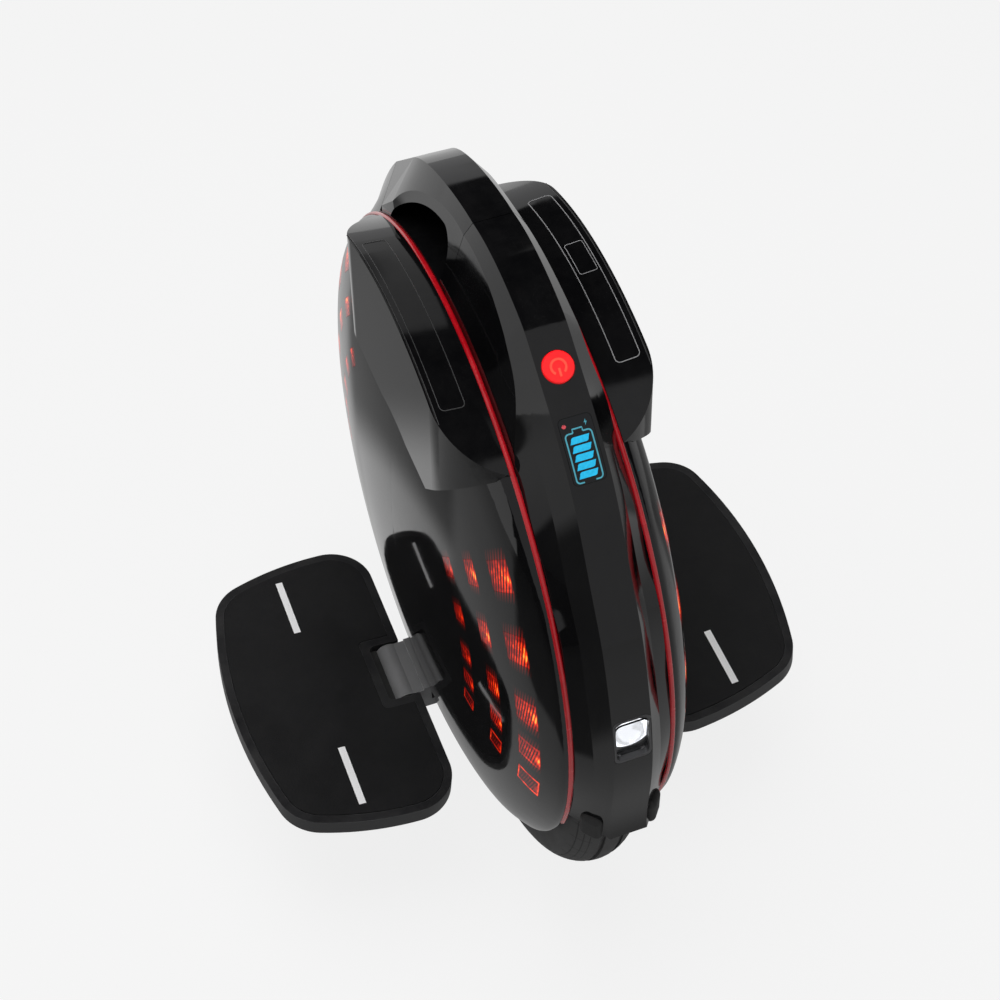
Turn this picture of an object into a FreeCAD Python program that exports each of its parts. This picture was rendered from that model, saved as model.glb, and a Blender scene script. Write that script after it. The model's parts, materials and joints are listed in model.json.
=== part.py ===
import FreeCAD
import Part
import math
import os

from FreeCAD import Vector

# Electric unicycle, in millimetres. X runs along the wheel axle, -Y is the front, Z is up.
# The origin is on the ground under the middle of the wheel.

# Tyre and tube
tyre_radius = 203.0
tyre_section_radius = 27.0
tyre_wall = 5.5
bead_angle = 145.0
tube_gap = 0.3
tube_wall = 2.0
groove_width = 3.0
groove_depth = 2.4
groove_offset = 6.5
sipe_width = 2.2
sipe_length = 26.0
sipe_count = 44
sipe_slant = 32.0

# Rim and hub motor
rim_half_width = 26.0
rim_lip_angle = 118.0
rim_depth = 65.0
magnet_thickness = 4.0
magnet_half_length = 15.0
magnet_count = 30
magnet_cover_share = 0.78
air_gap = 1.0
motor_cover_lap = 8.0
motor_cover_wall = 2.6
bearing_outer_radius = 23.5
bearing_width = 12.0
bearing_groove = 1.2
bearing_ring = 3.5
hub_boss_wall = 4.5
hub_lip = 2.5
axle_radius = 10.0
axle_end_radius = 8.0
axle_shoulder = 29.5
axle_half_length = 48.0
bearing_clearance = 0.05
cover_screw_radius = 2.0
cover_screw_head_radius = 3.2
cover_screw_head_height = 0.9
cover_screw_length = 8.0
cover_screw_count = 8
stator_half_length = 14.0
stator_yoke_depth = 26.0
stator_yoke_wall = 14.0
stator_hub_radius = 20.0
stator_spoke_width = 14.0
stator_spoke_count = 6
tooth_width = 5.0
coil_thickness = 2.7
coil_overhang = 3.0
coil_inset = 2.5
valve_radius = 2.6
valve_start = 6.0
valve_tip = 28.6
valve_exit_rise = 11.3
valve_lean = 7.0

# Shell: the big round body around the wheel
shell_rise = 60.0
shell_margin = 2.3
trim_width = 3.2
trim_depth = 2.8
trim_crown = 1.0
trim_end_angle = 108.9
frame_half_width = 30.3
frame_thickness = 3.2
frame_inset = 3.0
cover_depth = 41.0
cover_rim_half_width = 31.0
cover_power = 2.2
cover_wall = 3.0
arch_gap = 4.5
arch_wall = 2.5
arch_end_angle = 88.0
part_gap = 0.2

# Spine between the two red trims
strip_half_width = 12.0
crown_rise = 52.0
spine_wall = 3.0
spine_lip = 6.3
deck_rise = 1.2
seam_gap = 0.4
spine_end_angle = 104.5
leg_crest_angle = -26.0
leg_foot_angle = -38.0
leg_ridge_angle = -35.6
leg_ridge_rise = 3.5
grip_thickness = 16.0
facet_hollow = 4.5

# Angle from the top towards the front, rise of the strip, the crease of the bevel (how far out it
# lies between strip and trim, how far it has fallen between their levels) and the hollow of the bevel.
crown_station_shares = [
    (6.0, 0.987, 0.317, 0.146, 0.0),
    (12.0, 0.998, 0.377, 0.171, 0.0),
    (17.0, 0.983, 0.459, 0.211, 0.0),
]
nose_station_shares = [
    (21.0, 0.906, 0.525, 0.261, 0.0),
    (25.0, 0.829, 0.667, 0.371, 0.0),
    (29.0, 0.775, 0.874, 0.670, 0.0),
    (33.0, 0.721, 0.973, 0.973, 0.05),
    (38.0, 0.648, 0.985, 0.985, 0.20),
    (46.0, 0.494, 0.985, 0.985, 0.60),
    (56.0, 0.375, 0.985, 0.985, 0.95),
    (68.0, 0.329, 0.985, 0.985, 0.90),
    (80.0, 0.317, 0.985, 0.985, 0.45),
    (92.0, 0.310, 0.985, 0.985, 0.10),
]
tail_station_shares = [
    (-46.0, 0.437, 0.985, 0.985, 0.30),
    (-56.0, 0.356, 0.985, 0.985, 0.80),
    (-68.0, 0.325, 0.985, 0.985, 0.90),
    (-80.0, 0.317, 0.985, 0.985, 0.45),
    (-92.0, 0.310, 0.985, 0.985, 0.10),
]
grip_station_shares = [
    (-6.0, 0.877, 0.301, 0.156, 0.0),
    (-12.0, 0.831, 0.399, 0.215, 0.0),
    (-19.0, 0.781, 0.612, 0.352, 0.0),
]
seam_shares = (0.923, 0.306, 0.150, 0.0)
crest_shares = (0.688, 0.962, 0.631, 0.0)
leg_foot_shares = (0.533, 0.985, 0.985, 0.0)
spine_end_shares = (0.437, 0.985, 0.985, 0.0)
wall_shift_shares = [(0.5, 1.0), (0.75, 0.66), (0.9, 0.45), (1.0, 0.9), (1.0, 0.0)]

# Hand opening under the grip: angle and depth below the strip in grip thicknesses
opening_front_angle = -2.6
opening_rear_angle = -32.0
opening_front_rise = 12.0
opening_bend_angle = -3.6
opening_bend_rise = 23.5
opening_station_shares = [
    (-6.0, 0.95),
    (-12.0, 1.00),
    (-19.0, 1.33),
    (-25.5, 1.66),
]

# Leg pads on the upper sides
pad_inner_gap = 0.2
pad_inner_rise = 0.5
pad_outer_rise = 3.6
pad_half_width = 66.0
pad_top_half_width = 64.4
pad_height = 91.3
pad_seat_gap = 0.3
pad_front_foot = 58.0
pad_rear_foot = 98.0
pad_front_slope = 45.0
pad_rear_slope = 68.0
pad_corner_radius = 44.0
pad_half_length = 115.0
panel_inner = 44.5
panel_outer = 59.5
panel_rear = 65.0
panel_front = 75.0
panel_thickness = 2.2
panel_gap = 0.4
panel_corner_radius = 3.0

# Charge port on the right pad
door_inner = 46.0
door_outer = 58.5
door_rear = 12.0
door_front = 15.0
door_gap = 0.35
door_hinge_gap = 0.7
door_thickness = 2.0
door_corner_radius = 2.0
port_depth = 10.0
socket_radius = 5.4
socket_bore_radius = 3.6
socket_height = 6.5
socket_base = 1.5

# Light tiles in the side covers: how far each row lies inside the trim, and angles from the top
tile_row_insets = [(30.3, 13.3), (58.3, 46.3), (90.3, 78.3)]
tile_angles = [49.0, 63.0, 77.0, 88.0, 98.5]
tile_half_angle = 3.0
tile_gap = 0.15
light_board_thickness = 1.6
light_board_standoff = 4.0
light_board_margin = 3.0
light_board_half_sweep = 29.0

# Button, gauge window and lamps on the spine
button_angle = 23.1
button_radius = 9.0
button_gap = 0.35
button_proud = 0.9
button_depth = 5.2
button_travel = 1.2
button_edge = 0.6
cup_wall = 0.9
cup_depth = 9.0
plunger_radius = 2.0
window_angle = 33.6
window_length = 37.0
window_half_width = 9.6
window_corner_radius = 3.0
window_thickness = 1.6
window_board_thickness = 1.6
lamp_rise = 41.2
lamp_half_width = 11.7
lamp_half_height = 16.4
lamp_depth = 15.0
lamp_wall = 1.6
lamp_lens_inset = 1.6
lamp_lens_thickness = 1.2
lamp_corner_radius = 4.0
lamp_recess = 4.5
lamp_dish_rim = 12.6
lamp_dish_lift = 1.5
lamp_chip = 6.0
lamp_chip_height = 1.0
tail_lens_thickness = 2.4

# Rubber corner bumpers at the lower ends of the spine
bumper_place_share = 0.46
bumper_width = 15.0
bumper_length = 21.0
bumper_depth = 10.0
bumper_drop = 8.0
bumper_round = 4.0
bumper_proud = 3.0

# Lift switch under the grip
switch_angle = -10.0
switch_length = 26.0
switch_half_width = 7.0
switch_thickness = 4.0
switch_proud = 2.2
switch_travel = 1.6
switch_gap = 0.35

# Pedals and their hinges
pedal_drop = 78.5
pedal_thickness = 15.0
pedal_inner = 70.0
pedal_tilt = 5.0
pedal_outer = 196.6
pedal_bow = 10.1
pedal_outer_half_length = 79.8
pedal_half_length = 114.3
pedal_end_fall = 11.3
pedal_inner_round = 30.0
pedal_outer_round = 20.5
pedal_corner_bulge = 4.0
pedal_rim = 6.0
pedal_floor = 5.0
pedal_rib = 3.0
pedal_edge_chamfer = 3.0
pedal_rib_count = 4
mat_thickness = 2.0
mat_proud = 0.5
mat_edge_gap = 0.3
hinge_offset = 78.0
hinge_drop = 9.5
notch_half_length = 24.0
notch_depth = 92.0
notch_corner_radius = 4.0
pin_radius = 4.0
pin_half_length = 45.0
pin_clearance = 0.05
pin_end_gap = 0.35
barrel_radius = 9.3
bracket_half_length = 22.5
bracket_block_outer = 66.0
bracket_block_height = 22.0
bracket_block_drop = 1.0
bracket_hole_half = 3.8
bracket_hole_offset = 57.0
bracket_groove = 1.2
flange_thickness = 4.5
flange_half_length = 33.0
flange_half_height = 25.0
hanger_thickness = 4.0
hanger_half_width = 36.0
bracket_clearance = 0.6
axle_boss_radius = 24.0
axle_nut_radius = 13.0
axle_nut_height = 7.0

# Battery packs and electronics inside
battery_half_length = 76.0
battery_drop = 13.0
battery_rise = 89.0
battery_thickness = 22.0
battery_corner_radius = 14.0
sink_clearance = 19.0
sink_half_length = 55.0
sink_thickness = 4.0
sink_fin_height = 8.0
sink_fin_count = 7
sink_fin_thickness = 2.0
board_thickness = 1.6
board_inset = 4.0
capacitor_radius = 7.0
capacitor_height = 16.0
capacitor_spacing = 24.0

overrun = 5.0
full_turn = 360.0
half_turn = 180.0

# Derived places
axle_height = tyre_radius
shell_height = axle_height + shell_rise
tyre_centre_radius = tyre_radius - tyre_section_radius
rim_bore_radius = tyre_radius - rim_depth
motor_cover_radius = rim_bore_radius + motor_cover_lap
stator_yoke_radius = rim_bore_radius - stator_yoke_depth
valve_exit_radius = rim_bore_radius + valve_exit_rise
trim_radius = tyre_radius + shell_margin
tile_rows = [(trim_radius - inner, trim_radius - outer) for inner, outer in tile_row_insets]
lamp_height = shell_height + lamp_rise
pedal_top = axle_height - pedal_drop
battery_bottom = shell_height - battery_drop
battery_top = shell_height + battery_rise
sink_height = axle_height + tyre_radius + sink_clearance
crown_radius = trim_radius + crown_rise
deck_radius = trim_radius + deck_rise
spine_bottom_radius = trim_radius - spine_lip
cover_half_width = cover_rim_half_width + cover_depth
frame_outer = frame_half_width + frame_thickness
hanger_face = frame_outer + hanger_thickness
hinge_height = pedal_top - hinge_drop
seam_half_angle = math.degrees(seam_gap / 2 / crown_radius)
cover_radius = trim_radius - part_gap
pad_bottom_height = shell_height + trim_radius - pad_height
x_axis = Vector(1, 0, 0)
y_axis = Vector(0, 1, 0)
z_axis = Vector(0, 0, 1)
origin = Vector(0, 0, 0)
axle_centre = Vector(0, 0, axle_height)
shell_centre = Vector(0, 0, shell_height)

nodes = {}


def shell_point(x, radius, angle):
    turn = math.radians(angle)
    return Vector(x, -radius * math.sin(turn), shell_height + radius * math.cos(turn))


def polygon(points):
    return Part.makePolygon(points + points[:1])


def prism(points, sweep):
    return Part.Face(polygon(points)).extrude(sweep)


def arc(first, middle, last):
    return Part.Arc(first, middle, last).toShape()


def line(first, last):
    return Part.makeLine(first, last)


def spline(points, start_tangent=None, end_tangent=None):
    curve = Part.BSplineCurve()
    if start_tangent is None:
        curve.interpolate(points)
    else:
        curve.interpolate(Points=points, InitialTangent=start_tangent, FinalTangent=end_tangent)
    return curve.toShape()


def rounded(corners, radius):
    edges = []
    count = len(corners)
    joints = []
    for index in range(count):
        corner = corners[index]
        before = (corners[index - 1] - corner).normalize()
        after = (corners[(index + 1) % count] - corner).normalize()
        half_angle = before.getAngle(after) / 2
        reach = radius / math.tan(half_angle)
        middle = (before + after).normalize()
        centre = corner + middle * (radius / math.sin(half_angle))
        joints.append((corner + before * reach, centre - middle * radius, corner + after * reach))
    for index in range(count):
        start, middle, end = joints[index]
        edges.append(arc(start, middle, end))
        edges.append(line(end, joints[(index + 1) % count][0]))
    return Part.Wire(edges)


def turned(wire, centre, start=0.0, sweep=full_turn):
    face = Part.Face(wire)
    face.rotate(centre, x_axis, start)
    return face.revolve(centre, x_axis, sweep)


def ring(centre, half_points, start=0.0, sweep=full_turn):
    points = [centre + Vector(x, 0, radius) for x, radius in half_points]
    return turned(polygon(points), centre, start, sweep)


def band(centre, inner_x, outer_x, inner_radius, outer_radius, start=0.0, sweep=full_turn):
    corners = [
        (inner_x, inner_radius),
        (inner_x, outer_radius),
        (outer_x, outer_radius),
        (outer_x, inner_radius),
    ]
    return ring(centre, corners, start, sweep)


def box(low, high):
    size = high - low
    return Part.makeBox(size.x, size.y, size.z, low)


def rod(start, direction, radius, length):
    return Part.makeCylinder(radius, length, start, direction)


def mirrored(shape):
    return shape.mirror(origin, x_axis)


def turn_copies(shape, centre, count):
    copies = []
    for index in range(count):
        copy = shape.copy()
        copy.rotate(centre, x_axis, full_turn * index / count)
        copies.append(copy)
    return copies


def fused(first, others):
    return first.multiFuse(others).removeSplitter()


def keep_pair(name, right_shape):
    nodes[name + "_right"] = right_shape
    nodes[name + "_left"] = mirrored(right_shape)


# Tyre, tube and rim
def tyre_section_point(radius, angle):
    turn = math.radians(angle)
    reach = tyre_centre_radius + radius * math.cos(turn)
    return axle_centre + Vector(radius * math.sin(turn), 0, reach)


def make_tyre():
    inner = tyre_section_radius - tyre_wall
    outer_arc = arc(
        tyre_section_point(tyre_section_radius, -bead_angle),
        tyre_section_point(tyre_section_radius, 0),
        tyre_section_point(tyre_section_radius, bead_angle),
    )
    inner_arc = arc(
        tyre_section_point(inner, bead_angle),
        tyre_section_point(inner, 0),
        tyre_section_point(inner, -bead_angle),
    )
    right_bead = line(
        tyre_section_point(tyre_section_radius, bead_angle),
        tyre_section_point(inner, bead_angle),
    )
    left_bead = line(
        tyre_section_point(inner, -bead_angle),
        tyre_section_point(tyre_section_radius, -bead_angle),
    )
    carcass = turned(Part.Wire([outer_arc, right_bead, inner_arc, left_bead]), axle_centre)
    floor = tyre_radius - groove_depth
    cuts = []
    for side in (-1, 1):
        middle = side * groove_offset
        low = middle - groove_width / 2
        cuts.append(band(axle_centre, low, low + groove_width, floor, tyre_radius))
        for index in range(sipe_count):
            cuts.append(make_sipe(side, index))
    return carcass.cut(cuts)


def make_sipe(side, index):
    start = groove_offset + groove_width * 2
    low = Vector(start, -sipe_width / 2, 0)
    high = Vector(start + sipe_length, sipe_width / 2, tyre_section_radius)
    cutter = box(low, high)
    cutter.translate(Vector(0, 0, tyre_section_radius - groove_depth))
    cutter.rotate(origin, z_axis, sipe_slant)
    lean = math.degrees(math.asin(start / tyre_section_radius))
    cutter.rotate(origin, y_axis, lean)
    if side < 0:
        cutter = mirrored(cutter)
    cutter.translate(axle_centre + Vector(0, 0, tyre_centre_radius))
    pitch = full_turn / sipe_count
    cutter.rotate(axle_centre, x_axis, pitch * index + pitch * (1 + side) / 4)
    return cutter


def make_tube():
    outer = tyre_section_radius - tyre_wall - tube_gap
    centre = tyre_section_point(0, 0)
    rings = []
    for radius in (outer, outer - tube_wall):
        circle = Part.Wire(Part.makeCircle(radius, centre, y_axis))
        rings.append(Part.Face(circle))
    return rings[0].cut(rings[1]).Faces[0].revolve(axle_centre, x_axis, full_turn)


def make_rim():
    left_lip = tyre_section_point(tyre_section_radius, -rim_lip_angle)
    right_lip = tyre_section_point(tyre_section_radius, rim_lip_angle)
    trough = arc(left_lip, tyre_section_point(tyre_section_radius, half_turn), right_lip)
    lip_z = right_lip.z
    bore_z = axle_height + rim_bore_radius
    side_points = [
        right_lip,
        Vector(rim_half_width, 0, lip_z),
        Vector(rim_half_width, 0, bore_z),
        Vector(-rim_half_width, 0, bore_z),
        Vector(-rim_half_width, 0, lip_z),
        left_lip,
    ]
    edges = [trough] + Part.makePolygon(side_points).Edges
    return turned(Part.Wire(edges), axle_centre)


def cover_screw_places(side):
    circle = (motor_cover_radius + rim_bore_radius) / 2
    places = []
    for index in range(cover_screw_count):
        turn = math.radians(full_turn * (index + 0.5) / cover_screw_count)
        offset = Vector(0, circle * math.sin(turn), circle * math.cos(turn))
        places.append(axle_centre + offset + Vector(side * (rim_half_width + motor_cover_wall), 0, 0))
    return places


def make_cover_screws():
    screws = []
    for side in (-1, 1):
        for place in cover_screw_places(side):
            head = rod(place, x_axis * side, cover_screw_head_radius, cover_screw_head_height)
            shank = rod(place, x_axis * -side, cover_screw_radius, cover_screw_length)
            screws.append(head.fuse(shank).removeSplitter())
    return screws


def make_motor_cover():
    face = rim_half_width + motor_cover_wall
    pocket = face - bearing_width
    boss = bearing_outer_radius + hub_boss_wall
    lip = bearing_outer_radius - hub_lip
    outline = [
        (pocket - hub_lip, lip),
        (pocket - hub_lip, boss),
        (rim_half_width, boss),
        (rim_half_width, motor_cover_radius),
        (face, motor_cover_radius),
        (face, bearing_outer_radius),
        (pocket, bearing_outer_radius),
        (pocket, lip),
    ]
    return ring(axle_centre, outline)


def make_bearing():
    outer_face = rim_half_width + motor_cover_wall
    inner_face = outer_face - bearing_width
    bore = axle_radius + bearing_clearance
    body = band(axle_centre, inner_face, outer_face, bore, bearing_outer_radius)
    shields = []
    for face, step in ((inner_face, bearing_groove), (outer_face, -bearing_groove)):
        low, high = sorted((face, face + step))
        shields.append(
            band(axle_centre, low, high, bore + bearing_ring, bearing_outer_radius - bearing_ring)
        )
    return body.cut(shields)


def make_magnets():
    pitch = full_turn / magnet_count
    block = band(
        axle_centre,
        -magnet_half_length,
        magnet_half_length,
        rim_bore_radius - magnet_thickness,
        rim_bore_radius,
        -pitch * magnet_cover_share / 2,
        pitch * magnet_cover_share,
    )
    return turn_copies(block, axle_centre, magnet_count)


def make_valve(gap):
    slope = math.tan(math.radians(valve_lean))
    run = valve_tip - valve_start
    start_radius = valve_exit_radius + (rim_half_width - valve_start) * slope
    start = axle_centre + Vector(valve_start, 0, start_radius)
    path = Vector(run, 0, -run * slope)
    return rod(start, path, valve_radius + gap, path.Length)


def make_axle():
    outline = [
        (-axle_half_length, 0),
        (-axle_half_length, axle_end_radius),
        (-axle_shoulder, axle_end_radius),
        (-axle_shoulder, axle_radius),
        (axle_shoulder, axle_radius),
        (axle_shoulder, axle_end_radius),
        (axle_half_length, axle_end_radius),
        (axle_half_length, 0),
    ]
    return ring(axle_centre, outline)


def stator_tip_radius():
    return rim_bore_radius - magnet_thickness - air_gap


def make_stator():
    yoke = band(
        axle_centre,
        -stator_half_length,
        stator_half_length,
        stator_yoke_radius - stator_yoke_wall,
        stator_yoke_radius,
    )
    hub = band(axle_centre, -stator_half_length, stator_half_length, axle_radius, stator_hub_radius)
    root = stator_yoke_radius - stator_yoke_wall / 2
    tooth = box(
        axle_centre + Vector(-stator_half_length, -tooth_width / 2, root),
        axle_centre + Vector(stator_half_length, tooth_width / 2, stator_tip_radius()),
    )
    spoke_root = (axle_radius + stator_hub_radius) / 2
    spoke = box(
        axle_centre + Vector(-stator_half_length, -stator_spoke_width / 2, spoke_root),
        axle_centre + Vector(stator_half_length, stator_spoke_width / 2, root),
    )
    teeth = turn_copies(tooth, axle_centre, magnet_count)
    spokes = turn_copies(spoke, axle_centre, stator_spoke_count)
    return fused(yoke, [hub] + teeth + spokes)


def make_windings():
    low_radius = stator_yoke_radius + coil_inset
    high_radius = stator_tip_radius() - coil_inset
    half_width = tooth_width / 2
    outer = box(
        axle_centre + Vector(-stator_half_length - coil_overhang, -half_width - coil_thickness, low_radius),
        axle_centre + Vector(stator_half_length + coil_overhang, half_width + coil_thickness, high_radius),
    )
    core = box(
        axle_centre + Vector(-stator_half_length, -half_width, low_radius - overrun),
        axle_centre + Vector(stator_half_length, half_width, high_radius + overrun),
    )
    return turn_copies(outer.cut(core), axle_centre, magnet_count)


# Side frames, wheel arch and side covers
def make_frame():
    plate_start = shell_centre + Vector(frame_half_width, 0, 0)
    plate = rod(plate_start, x_axis, trim_radius - frame_inset, frame_thickness)
    boss = rod(axle_centre + Vector(frame_outer, 0, 0), x_axis, axle_boss_radius, hanger_thickness)
    hanger = box(
        Vector(frame_outer, -hanger_half_width, hinge_height - flange_half_height),
        Vector(hanger_face, hanger_half_width, axle_height),
    )
    standoffs = []
    board_face = frame_outer + light_board_standoff
    for angle in tile_angles[::2]:
        for row in (tile_rows[0], tile_rows[-1]):
            for side in (-1, 1):
                foot = shell_point(frame_outer, sum(row) / 2, side * angle)
                standoffs.append(rod(foot, x_axis, cover_screw_head_radius, board_face - frame_outer))
    hole = rod(axle_centre, x_axis, axle_end_radius, axle_half_length)
    return fused(plate, [boss, hanger] + standoffs).cut(hole)


def make_axle_nuts():
    nuts = []
    for side in (-1, 1):
        corners = []
        for index in range(6):
            turn = math.radians(full_turn * index / 6)
            offset = Vector(0, axle_nut_radius * math.cos(turn), axle_nut_radius * math.sin(turn))
            corners.append(axle_centre + Vector(side * hanger_face, 0, 0) + offset)
        nut = prism(corners, x_axis * side * axle_nut_height)
        nuts.append(nut.cut(rod(axle_centre, x_axis * side, axle_end_radius, axle_half_length)))
    return nuts


def make_arch():
    inner = tyre_section_radius + arch_gap
    outer = inner + arch_wall
    inner_angle = math.degrees(math.asin(frame_half_width / inner))
    outer_angle = math.degrees(math.asin(frame_half_width / outer))
    outer_points = [tyre_section_point(outer, outer_angle * side) for side in (-1, 0, 1)]
    inner_points = [tyre_section_point(inner, inner_angle * side) for side in (1, 0, -1)]
    edges = [
        arc(*outer_points),
        line(outer_points[-1], inner_points[0]),
        arc(*inner_points),
        line(inner_points[-1], outer_points[0]),
    ]
    return turned(Part.Wire(edges), axle_centre, -arch_end_angle, 2 * arch_end_angle)


def cover_curve(depth, radius):
    last = math.acos((frame_outer - cover_rim_half_width) / depth)
    points = []
    steps = 10
    for index in range(steps + 1):
        turn = last * index / steps
        reach = radius * math.sin(turn) ** (2 / cover_power)
        points.append(shell_centre + Vector(cover_rim_half_width + depth * math.cos(turn), 0, reach))
    return points


def make_cover_solid(gap):
    points = cover_curve(cover_depth + gap, cover_radius + gap)
    top, rim = points[0], points[-1]
    edges = [
        spline(points, z_axis, x_axis * -1),
        line(rim, Vector(rim.x, 0, shell_height)),
        line(Vector(rim.x, 0, shell_height), top),
    ]
    return turned(Part.Wire(edges), shell_centre)


def make_cover_shell():
    outer = cover_curve(cover_depth, cover_radius)
    inner = cover_curve(cover_depth - cover_wall, cover_radius - cover_wall)
    edges = [
        spline(outer, z_axis, x_axis * -1),
        line(outer[-1], inner[-1]),
        spline(inner, z_axis, x_axis * -1),
        line(inner[0], outer[0]),
    ]
    return turned(Part.Wire(Part.__sortEdges__(edges)), shell_centre)


def tile_prisms(gap):
    prisms = []
    for inner, outer in tile_rows:
        gap_angle = math.degrees(gap / inner)
        half_sweep = tile_half_angle - gap_angle
        for angle in tile_angles:
            for side in (-1, 1):
                start = side * angle - half_sweep
                sweep = 2 * half_sweep
                prisms.append(
                    band(shell_centre, frame_outer, cover_half_width, inner + gap, outer - gap, start, sweep)
                )
    return prisms


def make_light_board():
    low = frame_outer + light_board_standoff
    inner = tile_rows[-1][0] - light_board_margin
    outer = tile_rows[0][1] - light_board_margin
    middle = (tile_angles[0] + tile_angles[-1]) / 2
    boards = []
    for side in (-1, 1):
        start = side * middle - light_board_half_sweep
        sweep = 2 * light_board_half_sweep
        boards.append(band(shell_centre, low, low + light_board_thickness, inner, outer, start, sweep))
    return boards


def bracket_passage(clearance):
    half_height = bracket_block_height / 2 + clearance
    middle = hinge_height - bracket_block_drop
    half_length = bracket_half_length + clearance
    return box(
        Vector(hanger_face, -half_length, middle - half_height),
        Vector(cover_half_width, half_length, middle + half_height),
    )


# Spine, handle and deck
def section_points(rise_share, out_share, fall_share, hollow_share):
    rise = crown_rise * rise_share
    strip = trim_radius + rise
    crease_x = strip_half_width + out_share * (frame_half_width - strip_half_width)
    crease = strip - fall_share * rise
    return [
        (strip_half_width, strip),
        ((strip_half_width + crease_x) / 2, (strip + crease) / 2 - facet_hollow * hollow_share),
        (crease_x, crease),
        (frame_half_width, trim_radius),
        (frame_half_width, spine_bottom_radius),
    ]


def inset_points(half):
    inner = []
    for (x, radius), (x_share, radius_share) in zip(half, wall_shift_shares):
        inner.append((x - spine_wall * x_share, radius - spine_wall * radius_share))
    inner[-1] = (inner[-1][0], spine_bottom_radius - overrun)
    return inner


def section_wire(half, angle):
    right = [shell_point(x, radius, angle) for x, radius in half]
    left = [shell_point(-x, radius, angle) for x, radius in reversed(half)]
    return polygon(right + left)


def station_loft(stations, inset):
    wires = []
    for station in stations:
        half = section_points(*station[1:])
        if inset:
            half = inset_points(half)
        wires.append(section_wire(half, station[0]))
    return Part.makeLoft(wires, True, False)


def wheel_well():
    radius = tyre_section_radius + arch_gap + arch_wall + part_gap
    circle = Part.Wire(Part.makeCircle(radius, tyre_section_point(0, 0), y_axis))
    return Part.Face(circle).revolve(axle_centre, x_axis, full_turn)


def crown_stations(start):
    return [(start,) + seam_shares] + crown_station_shares


def nose_stations(end):
    return crown_station_shares[-1:] + nose_station_shares + [(end,) + spine_end_shares]


def tail_stations(start, end):
    return [(start,) + leg_foot_shares] + tail_station_shares + [(end,) + spine_end_shares]


def wall_angle():
    return math.degrees(spine_wall / trim_radius)


def tail_start_angle():
    return leg_foot_angle - 2 * seam_half_angle


def make_front_outer():
    crown = station_loft(crown_stations(seam_half_angle), False)
    nose = station_loft(nose_stations(spine_end_angle), False)
    return crown.fuse(nose)


def make_front_cover(outer):
    crown = station_loft(crown_stations(seam_half_angle + wall_angle()), True)
    nose = station_loft(nose_stations(spine_end_angle - wall_angle()), True)
    return outer.cut([crown, nose, wheel_well()])


def make_tail_cover(outer):
    start = tail_start_angle() - wall_angle()
    end = wall_angle() - spine_end_angle
    space = station_loft(tail_stations(start, end), True)
    return outer.cut([space, wheel_well()])


def make_deck():
    start = tail_start_angle()
    sweep = -seam_half_angle - start
    top = band(
        shell_centre,
        -frame_half_width,
        frame_half_width,
        deck_radius - spine_wall,
        deck_radius,
        start,
        sweep,
    )
    lips = []
    for side in (-1, 1):
        low, high = sorted((side * (frame_half_width - spine_wall), side * frame_half_width))
        lips.append(band(shell_centre, low, high, spine_bottom_radius, deck_radius, start, sweep))
    return fused(top, lips)


def strip_radius(rise_share):
    return trim_radius + crown_rise * rise_share


def handle_section(station):
    strip, middle, crease, trim, bottom = section_points(*station[1:])
    foot_share = (crease[1] - deck_radius) / (crease[1] - trim[1])
    foot_x = crease[0] + foot_share * (trim[0] - crease[0])
    return [strip, crease, (foot_x, deck_radius), (foot_x, spine_bottom_radius)]


def make_handle():
    stations = [(-seam_half_angle,) + seam_shares] + grip_station_shares
    stations.append((leg_crest_angle,) + crest_shares)
    wires = [section_wire(handle_section(station), station[0]) for station in stations]
    grip = Part.makeLoft(wires, True, False)
    deck = rod(shell_centre - x_axis * frame_half_width, x_axis, deck_radius, 2 * frame_half_width)
    return grip.fuse(make_leg()).cut(deck).cut(hand_opening())


def make_leg():
    crest = handle_section((leg_crest_angle,) + crest_shares)
    foot = handle_section((leg_foot_angle,) + leg_foot_shares)
    corners = {}
    for side in (-1, 1):
        corners[side] = {
            "crest": shell_point(side * crest[0][0], crest[0][1], leg_crest_angle),
            "edge": shell_point(side * crest[1][0], crest[1][1], leg_crest_angle),
            "step": shell_point(side * crest[2][0], crest[2][1], leg_crest_angle),
            "base": shell_point(side * crest[3][0], crest[3][1], leg_crest_angle),
            "ridge": shell_point(side * foot[2][0], deck_radius + leg_ridge_rise, leg_ridge_angle),
            "heel": shell_point(side * foot[0][0], foot[0][1], leg_foot_angle),
            "toe": shell_point(side * foot[3][0], foot[3][1], leg_foot_angle),
        }
    left, right = corners[-1], corners[1]
    loops = [
        [
            left["crest"],
            right["crest"],
            right["edge"],
            right["step"],
            right["base"],
            left["base"],
            left["step"],
            left["edge"],
        ],
        [left["heel"], right["heel"], right["toe"], left["toe"]],
        [left["crest"], right["crest"], right["heel"], left["heel"]],
        [left["base"], right["base"], right["toe"], left["toe"]],
    ]
    for side in (left, right):
        loops.append([side["crest"], side["edge"], side["ridge"]])
        loops.append([side["crest"], side["ridge"], side["heel"]])
        loops.append([side["ridge"], side["toe"], side["heel"]])
        loops.append([side["edge"], side["step"], side["ridge"]])
        loops.append([side["step"], side["base"], side["ridge"]])
        loops.append([side["base"], side["toe"], side["ridge"]])
    shell = Part.makeShell([Part.Face(polygon(loop)) for loop in loops])
    leg = Part.makeSolid(shell)
    if leg.Volume < 0:
        leg.reverse()
    return leg


def underside_radius(depth_share, angle):
    rises = {station[0]: station[1] for station in grip_station_shares}
    rises[leg_crest_angle] = crest_shares[0]
    nearest = min(rises, key=lambda known: abs(known - angle))
    return strip_radius(rises[nearest]) - grip_thickness * depth_share


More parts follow.
